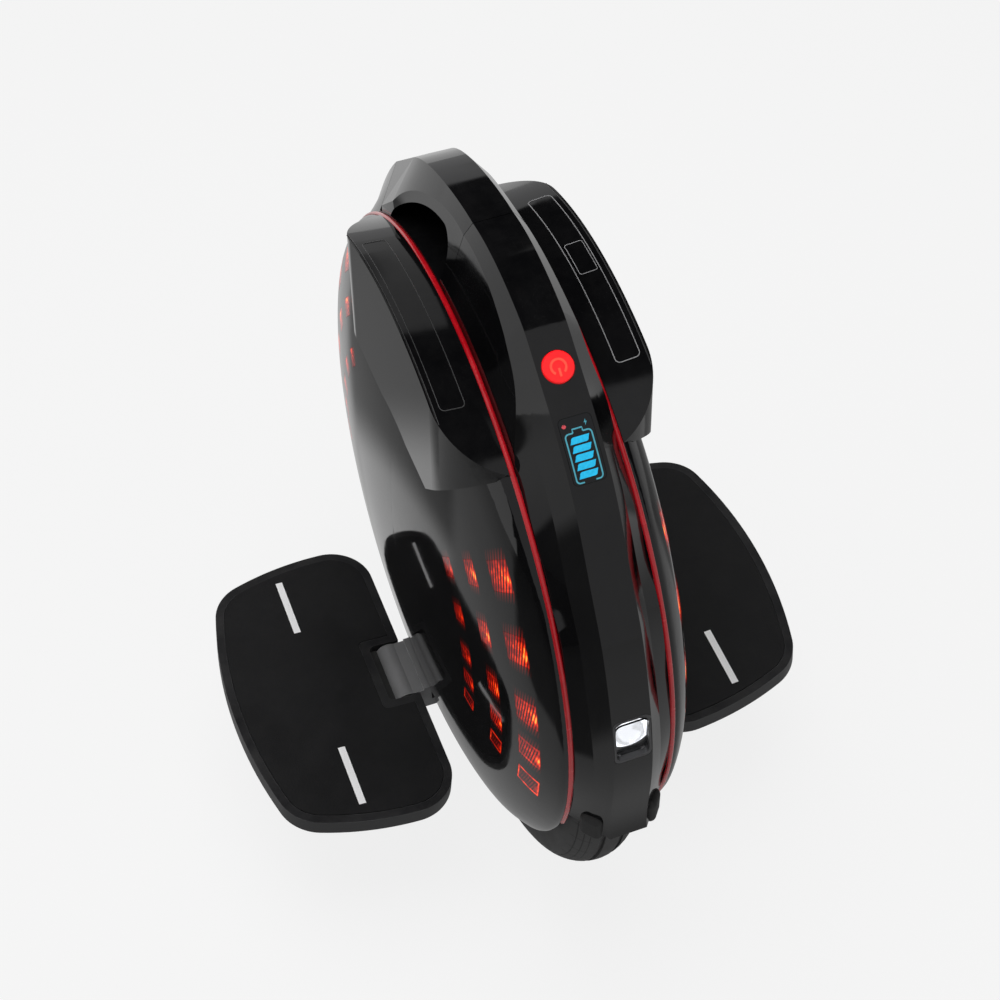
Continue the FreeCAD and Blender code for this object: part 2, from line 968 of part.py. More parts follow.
def hand_opening():
    reach = frame_half_width + overrun
    low = deck_radius - overrun
    front_low = shell_point(-reach, low, opening_front_angle)
    front_high = shell_point(-reach, deck_radius + opening_front_rise, opening_front_angle)
    rear_low = shell_point(-reach, low, opening_rear_angle)
    arch_points = []
    for angle, depth_share in opening_station_shares:
        arch_points.append(shell_point(-reach, underside_radius(depth_share, angle), angle))
    arch_points.append(rear_low)
    bend_radius = deck_radius + opening_bend_rise
    bend = shell_point(-reach, bend_radius, opening_bend_angle)
    edges = [
        line(front_low, front_high),
        arc(front_high, bend, arch_points[0]),
        spline(arch_points),
        line(rear_low, front_low),
    ]
    return Part.Face(Part.Wire(edges)).extrude(x_axis * 2 * reach)


def surface_point(solid, angle):
    ray = line(shell_point(0, trim_radius, angle), shell_point(0, crown_radius + overrun, angle))
    hits = solid.common(ray).Vertexes
    return max((vertex.Point for vertex in hits), key=lambda point: (point - shell_centre).Length)


def surface_frame(solid, angle):
    step = wall_angle()
    along = (surface_point(solid, angle + step) - surface_point(solid, angle - step)).normalize()
    normal = x_axis.cross(along)
    if normal.z < 0:
        normal = normal * -1
    return surface_point(solid, angle), along, normal


# Leg pads
def pad_outline():
    top = shell_height + trim_radius + overrun
    rise = top - pad_bottom_height
    front_run = rise / math.tan(math.radians(pad_front_slope))
    rear_run = rise / math.tan(math.radians(pad_rear_slope))
    corners = [
        Vector(0, -pad_front_foot, pad_bottom_height),
        Vector(0, pad_rear_foot, pad_bottom_height),
        Vector(0, pad_rear_foot + rear_run, top),
        Vector(0, -pad_front_foot - front_run, top),
    ]
    return prism(corners, x_axis * pad_half_width)


def pad_plan(half_width, height):
    inner = frame_half_width
    corners = [
        Vector(inner - pad_half_width, -pad_half_length, height),
        Vector(half_width, -pad_half_length, height),
        Vector(half_width, pad_half_length, height),
        Vector(inner - pad_half_width, pad_half_length, height),
    ]
    return rounded(corners, pad_corner_radius)


def make_pad(cover_solid):
    inner = frame_outer + pad_inner_gap
    top_rim = trim_radius + pad_inner_rise
    top_edge = trim_radius + pad_outer_rise
    saddle = ring(
        shell_centre,
        [
            (inner, 0),
            (inner, top_rim),
            (pad_half_width, top_edge),
            (pad_half_width, 0),
        ],
    )
    low = pad_plan(pad_half_width, pad_bottom_height - overrun)
    high = pad_plan(pad_top_half_width, shell_height + trim_radius + overrun)
    walls = Part.makeLoft([low, high], True, True)
    return saddle.common(pad_outline()).common(walls).cut(cover_solid)


def plan_prism(inner, outer, rear, front, radius):
    corners = [
        Vector(inner, -front, shell_height),
        Vector(outer, -front, shell_height),
        Vector(outer, rear, shell_height),
        Vector(inner, rear, shell_height),
    ]
    return Part.Face(rounded(corners, radius)).extrude(z_axis * crown_radius)


def pad_skin(depth):
    inner = frame_outer + pad_inner_gap
    top_rim = trim_radius + pad_inner_rise
    top_edge = trim_radius + pad_outer_rise
    return ring(
        shell_centre,
        [
            (inner, top_rim - depth),
            (inner, top_rim + overrun),
            (pad_half_width, top_edge + overrun),
            (pad_half_width, top_edge - depth),
        ],
    )


def panel_recess():
    return plan_prism(panel_inner, panel_outer, panel_rear, panel_front, panel_corner_radius).common(
        pad_skin(panel_thickness)
    )


def make_panel(pad):
    inside = plan_prism(
        panel_inner + panel_gap,
        panel_outer - panel_gap,
        panel_rear - panel_gap,
        panel_front - panel_gap,
        panel_corner_radius - panel_gap,
    )
    return pad.common(inside).common(pad_skin(panel_thickness))


def door_hole():
    return plan_prism(door_inner, door_outer, door_rear, door_front, door_corner_radius)


def port_pocket():
    return door_hole().common(pad_skin(port_depth))


def make_door(pad):
    inside = plan_prism(
        door_inner + door_hinge_gap,
        door_outer - door_gap,
        door_rear - door_gap,
        door_front - door_gap,
        door_corner_radius - door_gap,
    )
    return pad.common(inside).common(pad_skin(door_thickness))


def make_socket(pad):
    middle = Vector((door_inner + door_outer) / 2, (door_rear - door_front) / 2, 0)
    rim = door_hole().common(pad_skin(port_depth)).cut(pad_skin(port_depth - socket_base))
    floor = Vector(middle.x, middle.y, rim.BoundBox.ZMin)
    tube = rod(floor, z_axis, socket_radius, socket_height).cut(pad)
    bore = rod(floor + z_axis * 2 * socket_base, z_axis, socket_bore_radius, crown_radius)
    return rim.fuse(tube).cut(bore)


# Lamps, gauge and switches
def lamp_outline(half_width, half_height, y):
    corners = [
        Vector(-half_width, y, lamp_height - half_height),
        Vector(half_width, y, lamp_height - half_height),
        Vector(half_width, y, lamp_height + half_height),
        Vector(-half_width, y, lamp_height + half_height),
    ]
    return rounded(corners, lamp_corner_radius)


def lamp_prism(inset, near, far):
    wire = lamp_outline(lamp_half_width - inset, lamp_half_height - inset, near)
    return Part.Face(wire).extrude(y_axis * (far - near))


def make_bumper(side):
    run = frame_half_width - strip_half_width
    rise = crown_rise * spine_end_shares[0]
    lean = math.atan2(rise, run)
    half = Vector(bumper_width / 2, bumper_depth / 2, bumper_length / 2)
    block = box(half * -1, half)
    block = block.makeFillet(bumper_round, block.Edges)
    block.rotate(origin, z_axis, side * math.degrees(lean))
    x = side * (strip_half_width + bumper_place_share * run)
    foot = shell_point(x, trim_radius + rise * (1 - bumper_place_share), spine_end_angle)
    outward = Vector(side * math.sin(lean), -math.cos(lean), 0)
    lift = Vector(0, 0, bumper_length / 2 - bumper_drop)
    block.translate(foot + outward * (bumper_proud - bumper_depth / 2) + lift)
    return block.cut(wheel_well())


def rear_copy(shape):
    copy = shape.copy()
    copy.rotate(origin, z_axis, half_turn)
    return copy


def face_reach(solid, direction):
    start = Vector(0, 0, lamp_height)
    hits = solid.common(line(start, start + direction * crown_radius)).Vertexes
    return max(abs(vertex.Point.y) for vertex in hits)


def lamp_dish(floor, back):
    seat_radius = lamp_chip * math.sqrt(0.5) + part_gap
    foot = Vector(0, back, lamp_height + lamp_dish_lift)
    seat = foot + x_axis * seat_radius
    rim = foot + x_axis * lamp_dish_rim - y_axis * (back - floor)
    bend = (seat + rim) / 2 + y_axis * (back - floor) / 4
    mouth_rim = rim - y_axis * lamp_wall
    mouth = Vector(0, mouth_rim.y, mouth_rim.z)
    profile = Part.Wire([
        line(foot, seat),
        arc(seat, bend, rim),
        line(rim, mouth_rim),
        line(mouth_rim, mouth),
        line(mouth, foot),
    ])
    return Part.Face(profile).revolve(foot, y_axis, full_turn)


def lamp_bowl(reach):
    floor = -reach + lamp_recess
    back = -reach + lamp_depth - lamp_wall
    dish = lamp_dish(floor, back).common(lamp_prism(lamp_wall, floor - lamp_wall, back))
    return lamp_prism(lamp_wall, -reach - overrun, floor).fuse(dish)


def make_headlight(spine):
    reach = face_reach(spine, y_axis * -1)
    bowl = lamp_bowl(reach)
    housing = lamp_prism(part_gap, -reach - overrun, -reach + lamp_depth).common(spine)
    nodes["headlight_reflector"] = housing.cut(bowl)
    lens_front = -reach + lamp_lens_inset
    slab = lamp_prism(0, lens_front, lens_front + lamp_lens_thickness)
    nodes["headlight_lens"] = slab.common(bowl)
    chip_middle = Vector(0, -reach + lamp_depth - lamp_wall, lamp_height + lamp_dish_lift)
    chip_half = Vector(lamp_chip / 2, 0, lamp_chip / 2)
    nodes["headlight_chip"] = box(
        chip_middle - chip_half - y_axis * lamp_chip_height,
        chip_middle + chip_half,
    )
    return lamp_prism(0, -reach - overrun, -reach + lamp_depth)


def make_tail_light(spine):
    reach = face_reach(spine, y_axis)
    plug = lamp_prism(part_gap, reach - lamp_depth, reach + overrun).common(spine)
    inner_spine = spine.copy()
    inner_spine.translate(y_axis * -tail_lens_thickness)
    nodes["tail_light_lens"] = plug.cut(inner_spine)
    return lamp_prism(0, reach - lamp_depth, reach + overrun)


def make_tail_board(spine, cover):
    reach = face_reach(spine, y_axis) - spine_wall
    board = box(
        Vector(-lamp_half_width, reach - board_thickness, lamp_height - lamp_half_height),
        Vector(lamp_half_width, reach, lamp_height + lamp_half_height),
    )
    inner_spine = spine.copy()
    inner_spine.translate(y_axis * -spine_wall)
    return board.common(inner_spine).cut(cover)


def skin_prism(centre, along, normal, half_width, length, radius, low, high):
    base = centre + normal * low
    corners = [
        base + along * (length / 2) + x_axis * half_width,
        base - along * (length / 2) + x_axis * half_width,
        base - along * (length / 2) - x_axis * half_width,
        base + along * (length / 2) - x_axis * half_width,
    ]
    return Part.Face(rounded(corners, radius)).extrude(normal * (high - low))


def window_hole(spine, gap):
    centre, along, normal = surface_frame(spine, window_angle)
    return skin_prism(
        centre,
        along,
        normal,
        window_half_width - gap,
        window_length - 2 * gap,
        window_corner_radius - gap,
        -spine_wall - overrun,
        overrun,
    )


def make_window(spine):
    centre, along, normal = surface_frame(spine, window_angle)
    inner_spine = spine.copy()
    inner_spine.translate(normal * -window_thickness)
    return window_hole(spine, part_gap).common(spine).cut(inner_spine)


def make_window_board(spine, cover):
    centre, along, normal = surface_frame(spine, window_angle)
    board = skin_prism(
        centre,
        along,
        normal,
        window_half_width,
        window_length + 2 * spine_wall,
        window_corner_radius,
        -spine_wall - window_board_thickness,
        -spine_wall,
    )
    return board.cut(cover)


def button_hole(spine):
    centre, along, normal = surface_frame(spine, button_angle)
    return rod(centre + normal * overrun, normal * -1, button_radius + button_gap, cup_depth + overrun)


def make_button(spine):
    centre, along, normal = surface_frame(spine, button_angle)
    cap = rod(centre + normal * button_proud, normal * -1, button_radius, button_depth + button_proud)
    rims = [edge for edge in cap.Edges if (edge.CenterOfMass - centre).dot(normal) > 0 and edge.Closed]
    return cap.makeChamfer(button_edge, rims)


def make_button_cup(spine, cover):
    centre, along, normal = surface_frame(spine, button_angle)
    top = centre - normal * (spine_wall / 2)
    inner = button_radius + button_gap
    tube = rod(top, normal * -1, inner + cup_wall, cup_depth - spine_wall / 2)
    floor_depth = cup_depth - cup_wall
    tube = tube.cut(rod(centre, normal * -1, inner, floor_depth))
    plunger_top = button_depth + button_travel + part_gap
    plunger = rod(centre - normal * plunger_top, normal * -1, plunger_radius, cup_depth - plunger_top)
    return tube.fuse(plunger).removeSplitter().cut(cover)


def switch_seat(handle):
    ray = line(shell_point(0, deck_radius, switch_angle), shell_point(0, crown_radius, switch_angle))
    hits = handle.common(ray).Vertexes
    return min((vertex.Point - shell_centre).Length for vertex in hits)


def switch_block(seat, gap, low, high):
    half = Vector(switch_half_width + gap, switch_length / 2 + gap, 0)
    block = box(
        shell_centre - half + Vector(0, 0, seat + low),
        shell_centre + half + Vector(0, 0, seat + high),
    )
    block.rotate(shell_centre, x_axis, switch_angle)
    return block


# Pedals, hinge brackets and pins
def pedal_wire(height):
    inner_tuck = pedal_inner_round * (1 - math.sqrt(0.5))
    inner_end = pedal_half_length - pedal_inner_round
    shoulder = pedal_outer - pedal_bow
    edges = [
        line(Vector(pedal_inner, -inner_end, height), Vector(pedal_inner, inner_end, height)),
        arc(
            Vector(shoulder, pedal_outer_half_length, height),
            Vector(pedal_outer, 0, height),
            Vector(shoulder, -pedal_outer_half_length, height),
        ),
    ]
    for side in (1, -1):
        inner_low = Vector(pedal_inner, side * inner_end, height)
        inner_mid = Vector(pedal_inner + inner_tuck, side * (pedal_half_length - inner_tuck), height)
        inner_high = Vector(pedal_inner + pedal_inner_round, side * pedal_half_length, height)
        outer_low = Vector(shoulder - pedal_outer_round, side * (pedal_half_length - pedal_end_fall), height)
        outer_high = Vector(shoulder, side * pedal_outer_half_length, height)
        end_mid = (inner_high + outer_low) / 2 + y_axis * side * pedal_end_fall / 4
        chord = outer_high - outer_low
        bulge = Vector(-side * chord.y, side * chord.x, 0).normalize() * pedal_corner_bulge
        edges.append(arc(inner_low, inner_mid, inner_high))
        edges.append(arc(inner_high, end_mid, outer_low))
        edges.append(arc(outer_low, (outer_low + outer_high) / 2 + bulge, outer_high))
    return Part.Wire(Part.__sortEdges__(edges))


def pedal_region(inset, low, high):
    wire = pedal_wire(low)
    if inset > 0:
        wire = wire.makeOffset2D(-inset)
    return Part.Face(wire).extrude(z_axis * (high - low))


def hinge_notch(margin):
    half = notch_half_length + margin
    low = pedal_top - pedal_thickness - overrun
    corners = [
        Vector(pedal_inner - notch_depth, -half, low),
        Vector(notch_depth + margin, -half, low),
        Vector(notch_depth + margin, half, low),
        Vector(pedal_inner - notch_depth, half, low),
    ]
    return Part.Face(rounded(corners, notch_corner_radius)).extrude(z_axis * (pedal_thickness + 2 * overrun))


def pedal_pockets():
    bottom = pedal_top - pedal_thickness
    ceiling = pedal_top - mat_thickness - pedal_floor
    space = pedal_region(pedal_rim, bottom - overrun, ceiling)
    keep = [
        box(
            Vector(0, -pin_half_length - pedal_rim, bottom - overrun),
            Vector(notch_depth + pedal_rim, pin_half_length + pedal_rim, ceiling),
        )
    ]
    pitch = 2 * pedal_half_length / (pedal_rib_count + 1)
    for index in range(pedal_rib_count):
        middle = -pedal_half_length + pitch * (index + 1)
        keep.append(
            box(
                Vector(0, middle - pedal_rib / 2, bottom - overrun),
                Vector(pedal_outer, middle + pedal_rib / 2, ceiling),
            )
        )
    spine_x = (notch_depth + pedal_rim + pedal_outer) / 2
    keep.append(
        box(
            Vector(spine_x - pedal_rib / 2, -pedal_half_length, bottom - overrun),
            Vector(spine_x + pedal_rib / 2, pedal_half_length, ceiling),
        )
    )
    return space.cut(keep)


def make_pedal():
    bottom = pedal_top - pedal_thickness
    waist = bottom + pedal_edge_chamfer
    foot = pedal_wire(bottom).makeOffset2D(-pedal_edge_chamfer)
    skirt = Part.makeLoft([foot, pedal_wire(waist)], True, True)
    plate = skirt.fuse(pedal_region(0, waist, pedal_top))
    recess = pedal_region(pedal_rim - mat_edge_gap, pedal_top - mat_thickness, pedal_top + overrun)
    recess = recess.cut(hinge_notch(pedal_rim - mat_edge_gap))
    half_bore = pin_half_length + pin_end_gap
    bore = rod(
        Vector(hinge_offset, -half_bore, hinge_height),
        y_axis,
        pin_radius + pin_clearance,
        2 * half_bore,
    )
    return plate.cut([hinge_notch(0), recess, pedal_pockets(), bore])


def make_mat():
    mat = pedal_region(pedal_rim, pedal_top - mat_thickness, pedal_top + mat_proud)
    return mat.cut(hinge_notch(pedal_rim))


def make_bracket():
    middle = hinge_height - bracket_block_drop
    block = box(
        Vector(hanger_face, -bracket_half_length, middle - bracket_block_height / 2),
        Vector(bracket_block_outer, bracket_half_length, middle + bracket_block_height / 2),
    )
    neck_half = barrel_radius - bracket_groove
    neck = box(
        Vector(bracket_block_outer - overrun, -bracket_half_length, hinge_height - neck_half),
        Vector(hinge_offset, bracket_half_length, hinge_height + neck_half),
    )
    barrel_start = Vector(hinge_offset, -bracket_half_length, hinge_height)
    barrel = rod(barrel_start, y_axis, barrel_radius, 2 * bracket_half_length)
    flange = box(
        Vector(hanger_face, -flange_half_length, hinge_height - flange_half_height),
        Vector(hanger_face + flange_thickness, flange_half_length, hinge_height + flange_half_height),
    )
    bore = rod(barrel_start, y_axis, pin_radius, 2 * bracket_half_length)
    hole = box(
        Vector(bracket_hole_offset - bracket_hole_half, -bracket_half_length, middle - bracket_hole_half),
        Vector(bracket_hole_offset + bracket_hole_half, bracket_half_length, middle + bracket_hole_half),
    )
    return fused(block, [neck, barrel, flange]).cut([bore, hole])


def make_pin():
    return rod(Vector(hinge_offset, -pin_half_length, hinge_height), y_axis, pin_radius, 2 * pin_half_length)


# Battery packs and electronics
def make_battery():
    corners = [
        Vector(frame_outer, -battery_half_length, battery_bottom),
        Vector(frame_outer, battery_half_length, battery_bottom),
        Vector(frame_outer, battery_half_length, battery_top),
        Vector(frame_outer, -battery_half_length, battery_top),
    ]
    return Part.Face(rounded(corners, battery_corner_radius)).extrude(x_axis * battery_thickness)


def make_heat_sink():
    plate = box(
        Vector(-frame_half_width, -sink_half_length, sink_height),
        Vector(frame_half_width, sink_half_length, sink_height + sink_thickness),
    )
    fins = []
    pitch = 2 * (frame_half_width - board_inset) / (sink_fin_count - 1)
    for index in range(sink_fin_count):
        middle = -frame_half_width + board_inset + pitch * index
        fins.append(
            box(
                Vector(middle - sink_fin_thickness / 2, -sink_half_length, sink_height),
                Vector(
                    middle + sink_fin_thickness / 2,
                    sink_half_length,
                    sink_height + sink_thickness + sink_fin_height,
                ),
            )
        )
    return fused(plate, fins)


def make_control_board():
    low = sink_height + sink_thickness + sink_fin_height
    half_width = frame_half_width - board_inset
    half_length = sink_half_length - board_inset
    plate = box(
        Vector(-half_width, -half_length, low),
        Vector(half_width, half_length, low + board_thickness),
    )
    capacitors = []
    for index in (-1, 0, 1):
        foot = Vector(0, index * capacitor_spacing, low)
        capacitors.append(rod(foot, z_axis, capacitor_radius, board_thickness + capacitor_height))
    return fused(plate, capacitors)


def make_trim():
    outer = frame_outer
    middle = (frame_half_width + frame_outer) / 2
    low = shell_height + trim_radius - trim_depth
    high = shell_height + trim_radius
    edges = [
        line(Vector(outer, 0, low), Vector(outer, 0, high)),
        arc(Vector(outer, 0, high), Vector(middle, 0, high + trim_crown), Vector(frame_half_width, 0, high)),
        line(Vector(frame_half_width, 0, high), Vector(frame_half_width, 0, low)),
        line(Vector(frame_half_width, 0, low), Vector(outer, 0, low)),
    ]
    return turned(Part.Wire(edges), shell_centre, -trim_end_angle, 2 * trim_end_angle)


def build_wheel():
    screws = make_cover_screws()
    cover = make_motor_cover()
    nodes["tyre"] = make_tyre()
    nodes["inner_tube"] = make_tube()
    nodes["wheel_rim"] = make_rim().cut(screws + [make_valve(part_gap)])
    nodes["tyre_valve"] = make_valve(0)
    nodes["rotor_magnets"] = make_magnets()
    nodes["motor_cover_right"] = cover.cut(screws)
    nodes["motor_cover_left"] = mirrored(cover).cut(screws)
    keep_pair("wheel_bearing", make_bearing())
    nodes["motor_cover_screws"] = screws
    nodes["motor_axle"] = make_axle()
    nodes["axle_nuts"] = make_axle_nuts()
    nodes["stator_core"] = make_stator()
    nodes["stator_windings"] = make_windings()


def build_sides():
    keep_pair("side_frame", make_frame())
    keep_pair("trim", make_trim())
    shell = make_cover_shell().cut(bracket_passage(bracket_clearance))
    keep_pair("light_tiles", shell.common(Part.makeCompound(tile_prisms(tile_gap))))
    keep_pair("side_cover", shell.cut(tile_prisms(0)))
    keep_pair("light_board", Part.makeCompound(make_light_board()))
    keep_pair("battery_pack", make_battery())


def build_spine():
    nodes["wheel_arch"] = make_arch()
    bumpers = [make_bumper(1), make_bumper(-1)]
    rear_bumpers = [rear_copy(bumper) for bumper in bumpers]
    outer = make_front_outer()
    front = make_front_cover(outer)
    front = front.cut([make_headlight(outer), window_hole(outer, 0), button_hole(outer)] + bumpers)
    nodes["front_spine_cover"] = front
    nodes["corner_bumpers"] = bumpers + rear_bumpers
    nodes["display_window"] = make_window(outer)
    nodes["display_board"] = make_window_board(outer, front)
    nodes["power_button"] = make_button(outer)
    nodes["button_cup"] = make_button_cup(outer, front)
    tail = station_loft(tail_stations(tail_start_angle(), -spine_end_angle), False)
    rear = make_tail_cover(tail).cut([make_tail_light(tail)] + rear_bumpers)
    nodes["rear_spine_cover"] = rear.fuse(make_deck()).removeSplitter()
    nodes["tail_light_board"] = make_tail_board(tail, nodes["rear_spine_cover"])
    handle = make_handle()
    seat = switch_seat(handle)
    inner_depth = switch_thickness - switch_proud
    pocket = switch_block(seat, switch_gap, -overrun, inner_depth + switch_travel + switch_gap)
    nodes["handle"] = handle.cut(pocket)
    nodes["lift_switch"] = switch_block(seat, 0, -switch_proud, inner_depth)


def build_pads():
    whole = make_pad(make_cover_solid(pad_seat_gap))
    panel = make_panel(whole)
    pad = whole.cut(panel_recess())
    nodes["leg_pad_left"] = mirrored(pad)
    nodes["pad_panel_left"] = mirrored(panel)
    nodes["leg_pad_right"] = pad.cut(port_pocket())
    nodes["pad_panel_right"] = panel.cut(door_hole())
    nodes["charge_door"] = make_door(whole)
    nodes["charge_socket"] = make_socket(nodes["leg_pad_right"])


def tilted_up(shape):
    hinge = Vector(hinge_offset, 0, hinge_height)
    return shape.rotated(hinge, y_axis, -pedal_tilt)


def build_pedals():
    keep_pair("pedal", tilted_up(make_pedal()))
    keep_pair("pedal_mat", tilted_up(make_mat()))
    keep_pair("pedal_bracket", make_bracket())
    keep_pair("pedal_pin", make_pin())


def build_electronics():
    nodes["heat_sink"] = make_heat_sink()
    nodes["control_board"] = make_control_board()


build_wheel()
build_sides()
build_spine()
build_pads()
build_pedals()
build_electronics()

os.makedirs("parts", exist_ok=True)
for name, shape in nodes.items():
    solid = Part.makeCompound(shape) if isinstance(shape, list) else shape
    solid.exportStep("parts/" + name + ".step")
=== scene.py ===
import json
import math

import bmesh
import bpy
from mathutils import Matrix, Vector
from mathutils.bvhtree import BVHTree

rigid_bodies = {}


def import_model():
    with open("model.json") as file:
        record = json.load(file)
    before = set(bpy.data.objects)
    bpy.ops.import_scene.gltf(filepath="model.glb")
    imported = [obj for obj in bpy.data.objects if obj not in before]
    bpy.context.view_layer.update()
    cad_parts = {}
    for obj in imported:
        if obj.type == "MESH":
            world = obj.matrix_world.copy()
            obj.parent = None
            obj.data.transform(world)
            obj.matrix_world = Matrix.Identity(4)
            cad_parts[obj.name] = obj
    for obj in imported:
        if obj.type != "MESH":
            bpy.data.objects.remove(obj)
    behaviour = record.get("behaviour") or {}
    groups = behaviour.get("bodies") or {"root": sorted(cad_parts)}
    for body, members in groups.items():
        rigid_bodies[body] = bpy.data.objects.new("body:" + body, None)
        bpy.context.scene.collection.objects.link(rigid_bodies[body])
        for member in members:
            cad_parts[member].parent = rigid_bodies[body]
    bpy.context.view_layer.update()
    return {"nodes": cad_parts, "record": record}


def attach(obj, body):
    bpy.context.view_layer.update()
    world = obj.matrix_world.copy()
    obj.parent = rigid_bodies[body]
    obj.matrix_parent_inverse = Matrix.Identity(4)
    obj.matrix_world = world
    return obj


for leftover in list(bpy.data.objects):
    bpy.data.objects.remove(leftover, do_unlink=True)

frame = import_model()
nodes = frame["nodes"]
nodeSlots = {row["node"]: row["material_slot"] for row in frame["record"]["subparts"]}
print("frame loaded with", len(nodes), "nodes")

# the round shell is centred on this point, and angles on it run from the top to the front
shellCentre = Vector((0, 0, 0.263))

# rays towards the shell start this far from its centre
rayReach = 0.35


# small helpers for node trees
def addNode(tree, kind, inputs=None, **settings):
    made = tree.nodes.new(kind)
    for name, value in settings.items():
        setattr(made, name, value)
    for key, value in (inputs or {}).items():
        if isinstance(value, bpy.types.NodeSocket):
            tree.links.new(value, made.inputs[key])
        else:
            made.inputs[key].default_value = value
    return made


def mathNode(tree, operation, first, second=0.0, clamp=False):
    made = addNode(tree, "ShaderNodeMath", {0: first, 1: second}, operation=operation)
    made.use_clamp = clamp
    return made.outputs[0]


def rangeNode(tree, value, low, high, toLow, toHigh, smooth=False):
    made = addNode(
        tree,
        "ShaderNodeMapRange",
        {"Value": value, "From Min": low, "From Max": high, "To Min": toLow, "To Max": toHigh},
    )
    if smooth:
        made.interpolation_type = "SMOOTHSTEP"
    return made.outputs["Result"]


# a mask that rises between two limits, and a value between two limits by a mask
def maskNode(tree, value, limits, smooth=False):
    return rangeNode(tree, value, *limits, 0.0, 1.0, smooth)


def blendNode(tree, mask, limits):
    return rangeNode(tree, mask, 0.0, 1.0, *limits)


def noiseNode(tree, point, scale, shape):
    return addNode(tree, "ShaderNodeTexNoise", {"Vector": point, "Scale": scale, **shape}).outputs["Fac"]


def mixColour(tree, factor, first, second):
    made = addNode(tree, "ShaderNodeMix", data_type="RGBA")
    for index, value in ((0, factor), (6, first), (7, second)):
        if isinstance(value, bpy.types.NodeSocket):
            tree.links.new(value, made.inputs[index])
        elif index:
            made.inputs[index].default_value = (*value, 1)
        else:
            made.inputs[index].default_value = value
    return made.outputs[2]


def rampNode(tree, value, stops):
    made = addNode(tree, "ShaderNodeValToRGB", {"Fac": value})
    elements = made.color_ramp.elements
    elements.remove(elements[1])
    for index, (place, level) in enumerate(stops):
        element = elements.new(place) if index else elements[0]
        element.position = place
        element.color = (*level, 1) if isinstance(level, tuple) else (level, level, level, 1)
    return made.outputs["Color"]


def newGroup(name, inputs, outputs):
    tree = bpy.data.node_groups.new(name, "ShaderNodeTree")
    for label, value in inputs.items():
        socket = tree.interface.new_socket(label, in_out="INPUT", socket_type="NodeSocketFloat")
        socket.default_value = value
    for label in outputs:
        tree.interface.new_socket(label, in_out="OUTPUT", socket_type="NodeSocketFloat")
    return tree, tree.nodes.new("NodeGroupInput"), tree.nodes.new("NodeGroupOutput")


def useGroup(tree, name, values):
    made = tree.nodes.new("ShaderNodeGroup")
    made.node_tree = bpy.data.node_groups[name]
    for label, value in values.items():
        made.inputs[label].default_value = value
    return made


def newMaterial(name):
    material = bpy.data.materials.new(name)
    material.use_nodes = True
    return material, material.node_tree, material.node_tree.nodes["Principled BSDF"]


def objectPoint(tree):
    return addNode(tree, "ShaderNodeTexCoord").outputs["Object"]


def addBump(tree, shader, height, strength, distance):
    bump = addNode(tree, "ShaderNodeBump", {"Height": height, "Strength": strength, "Distance": distance})
    tree.links.new(bump.outputs[0], shader.inputs["Normal"])


# shared effect: cloudy wipe marks and fine hairlines of a handled surface
wipeLook = {
    "scales": {"Scale": 30.0, "Hairline Scale": 900.0},
    "cloud": {"Detail": 6.0, "Roughness": 0.62, "Distortion": 0.6},
    "cloudLimits": (0.35, 0.7),
    "hair": {"Detail": 2.0},
    "hairTurn": (0.4, 0.2, 0.9),
    "hairStretch": (1.0, 0.035, 0.05),
    "hairLimits": (0.66, 0.74),
}


def makeWipeMarks():
    tree, source, result = newGroup("wipeMarks", wipeLook["scales"], ["Cloud", "Hairlines"])
    point = objectPoint(tree)
    cloud = noiseNode(tree, point, source.outputs["Scale"], wipeLook["cloud"])
    tree.links.new(maskNode(tree, cloud, wipeLook["cloudLimits"], True), result.inputs["Cloud"])
    stretched = addNode(
        tree,
        "ShaderNodeMapping",
        {"Vector": point, "Rotation": wipeLook["hairTurn"], "Scale": wipeLook["hairStretch"]},
    )
    hair = noiseNode(tree, stretched.outputs[0], source.outputs["Hairline Scale"], wipeLook["hair"])
    tree.links.new(maskNode(tree, hair, wipeLook["hairLimits"]), result.inputs["Hairlines"])


# shared effect: fine moulded or cast grain, with broad tone changes
mouldLook = {
    "scales": {"Grain Scale": 1500.0, "Tone Scale": 25.0},
    "grain": {"Detail": 3.0, "Roughness": 0.6},
    "tone": {"Detail": 5.0, "Roughness": 0.55},
    "toneLimits": (0.3, 0.7),
}


def makeMouldGrain():
    tree, source, result = newGroup("mouldGrain", mouldLook["scales"], ["Grain", "Tone"])
    point = objectPoint(tree)
    grain = noiseNode(tree, point, source.outputs["Grain Scale"], mouldLook["grain"])
    tree.links.new(grain, result.inputs["Grain"])
    tone = noiseNode(tree, point, source.outputs["Tone Scale"], mouldLook["tone"])
    tree.links.new(maskNode(tree, tone, mouldLook["toneLimits"], True), result.inputs["Tone"])


# shared effect: dust that settles on what faces up
dustLook = {
    "sizes": {"Scale": 60.0, "Amount": 0.1},
    "upward": (0.2, 1.0),
    "speck": {"Detail": 9.0, "Roughness": 0.75},
    "speckLimits": (0.42, 0.75),
    "tone": (0.32, 0.3, 0.28),
}


def makeDustFilm():
    tree, source, result = newGroup("dustFilm", dustLook["sizes"], ["Dust"])
    coords = addNode(tree, "ShaderNodeTexCoord")
    facing = addNode(tree, "ShaderNodeSeparateXYZ", {0: coords.outputs["Normal"]})
    upward = maskNode(tree, facing.outputs["Z"], dustLook["upward"], True)
    speck = noiseNode(tree, coords.outputs["Object"], source.outputs["Scale"], dustLook["speck"])
    patch = maskNode(tree, speck, dustLook["speckLimits"])
    amount = mathNode(tree, "MULTIPLY", mathNode(tree, "MULTIPLY", upward, patch), source.outputs["Amount"])
    tree.links.new(amount, result.inputs["Dust"])


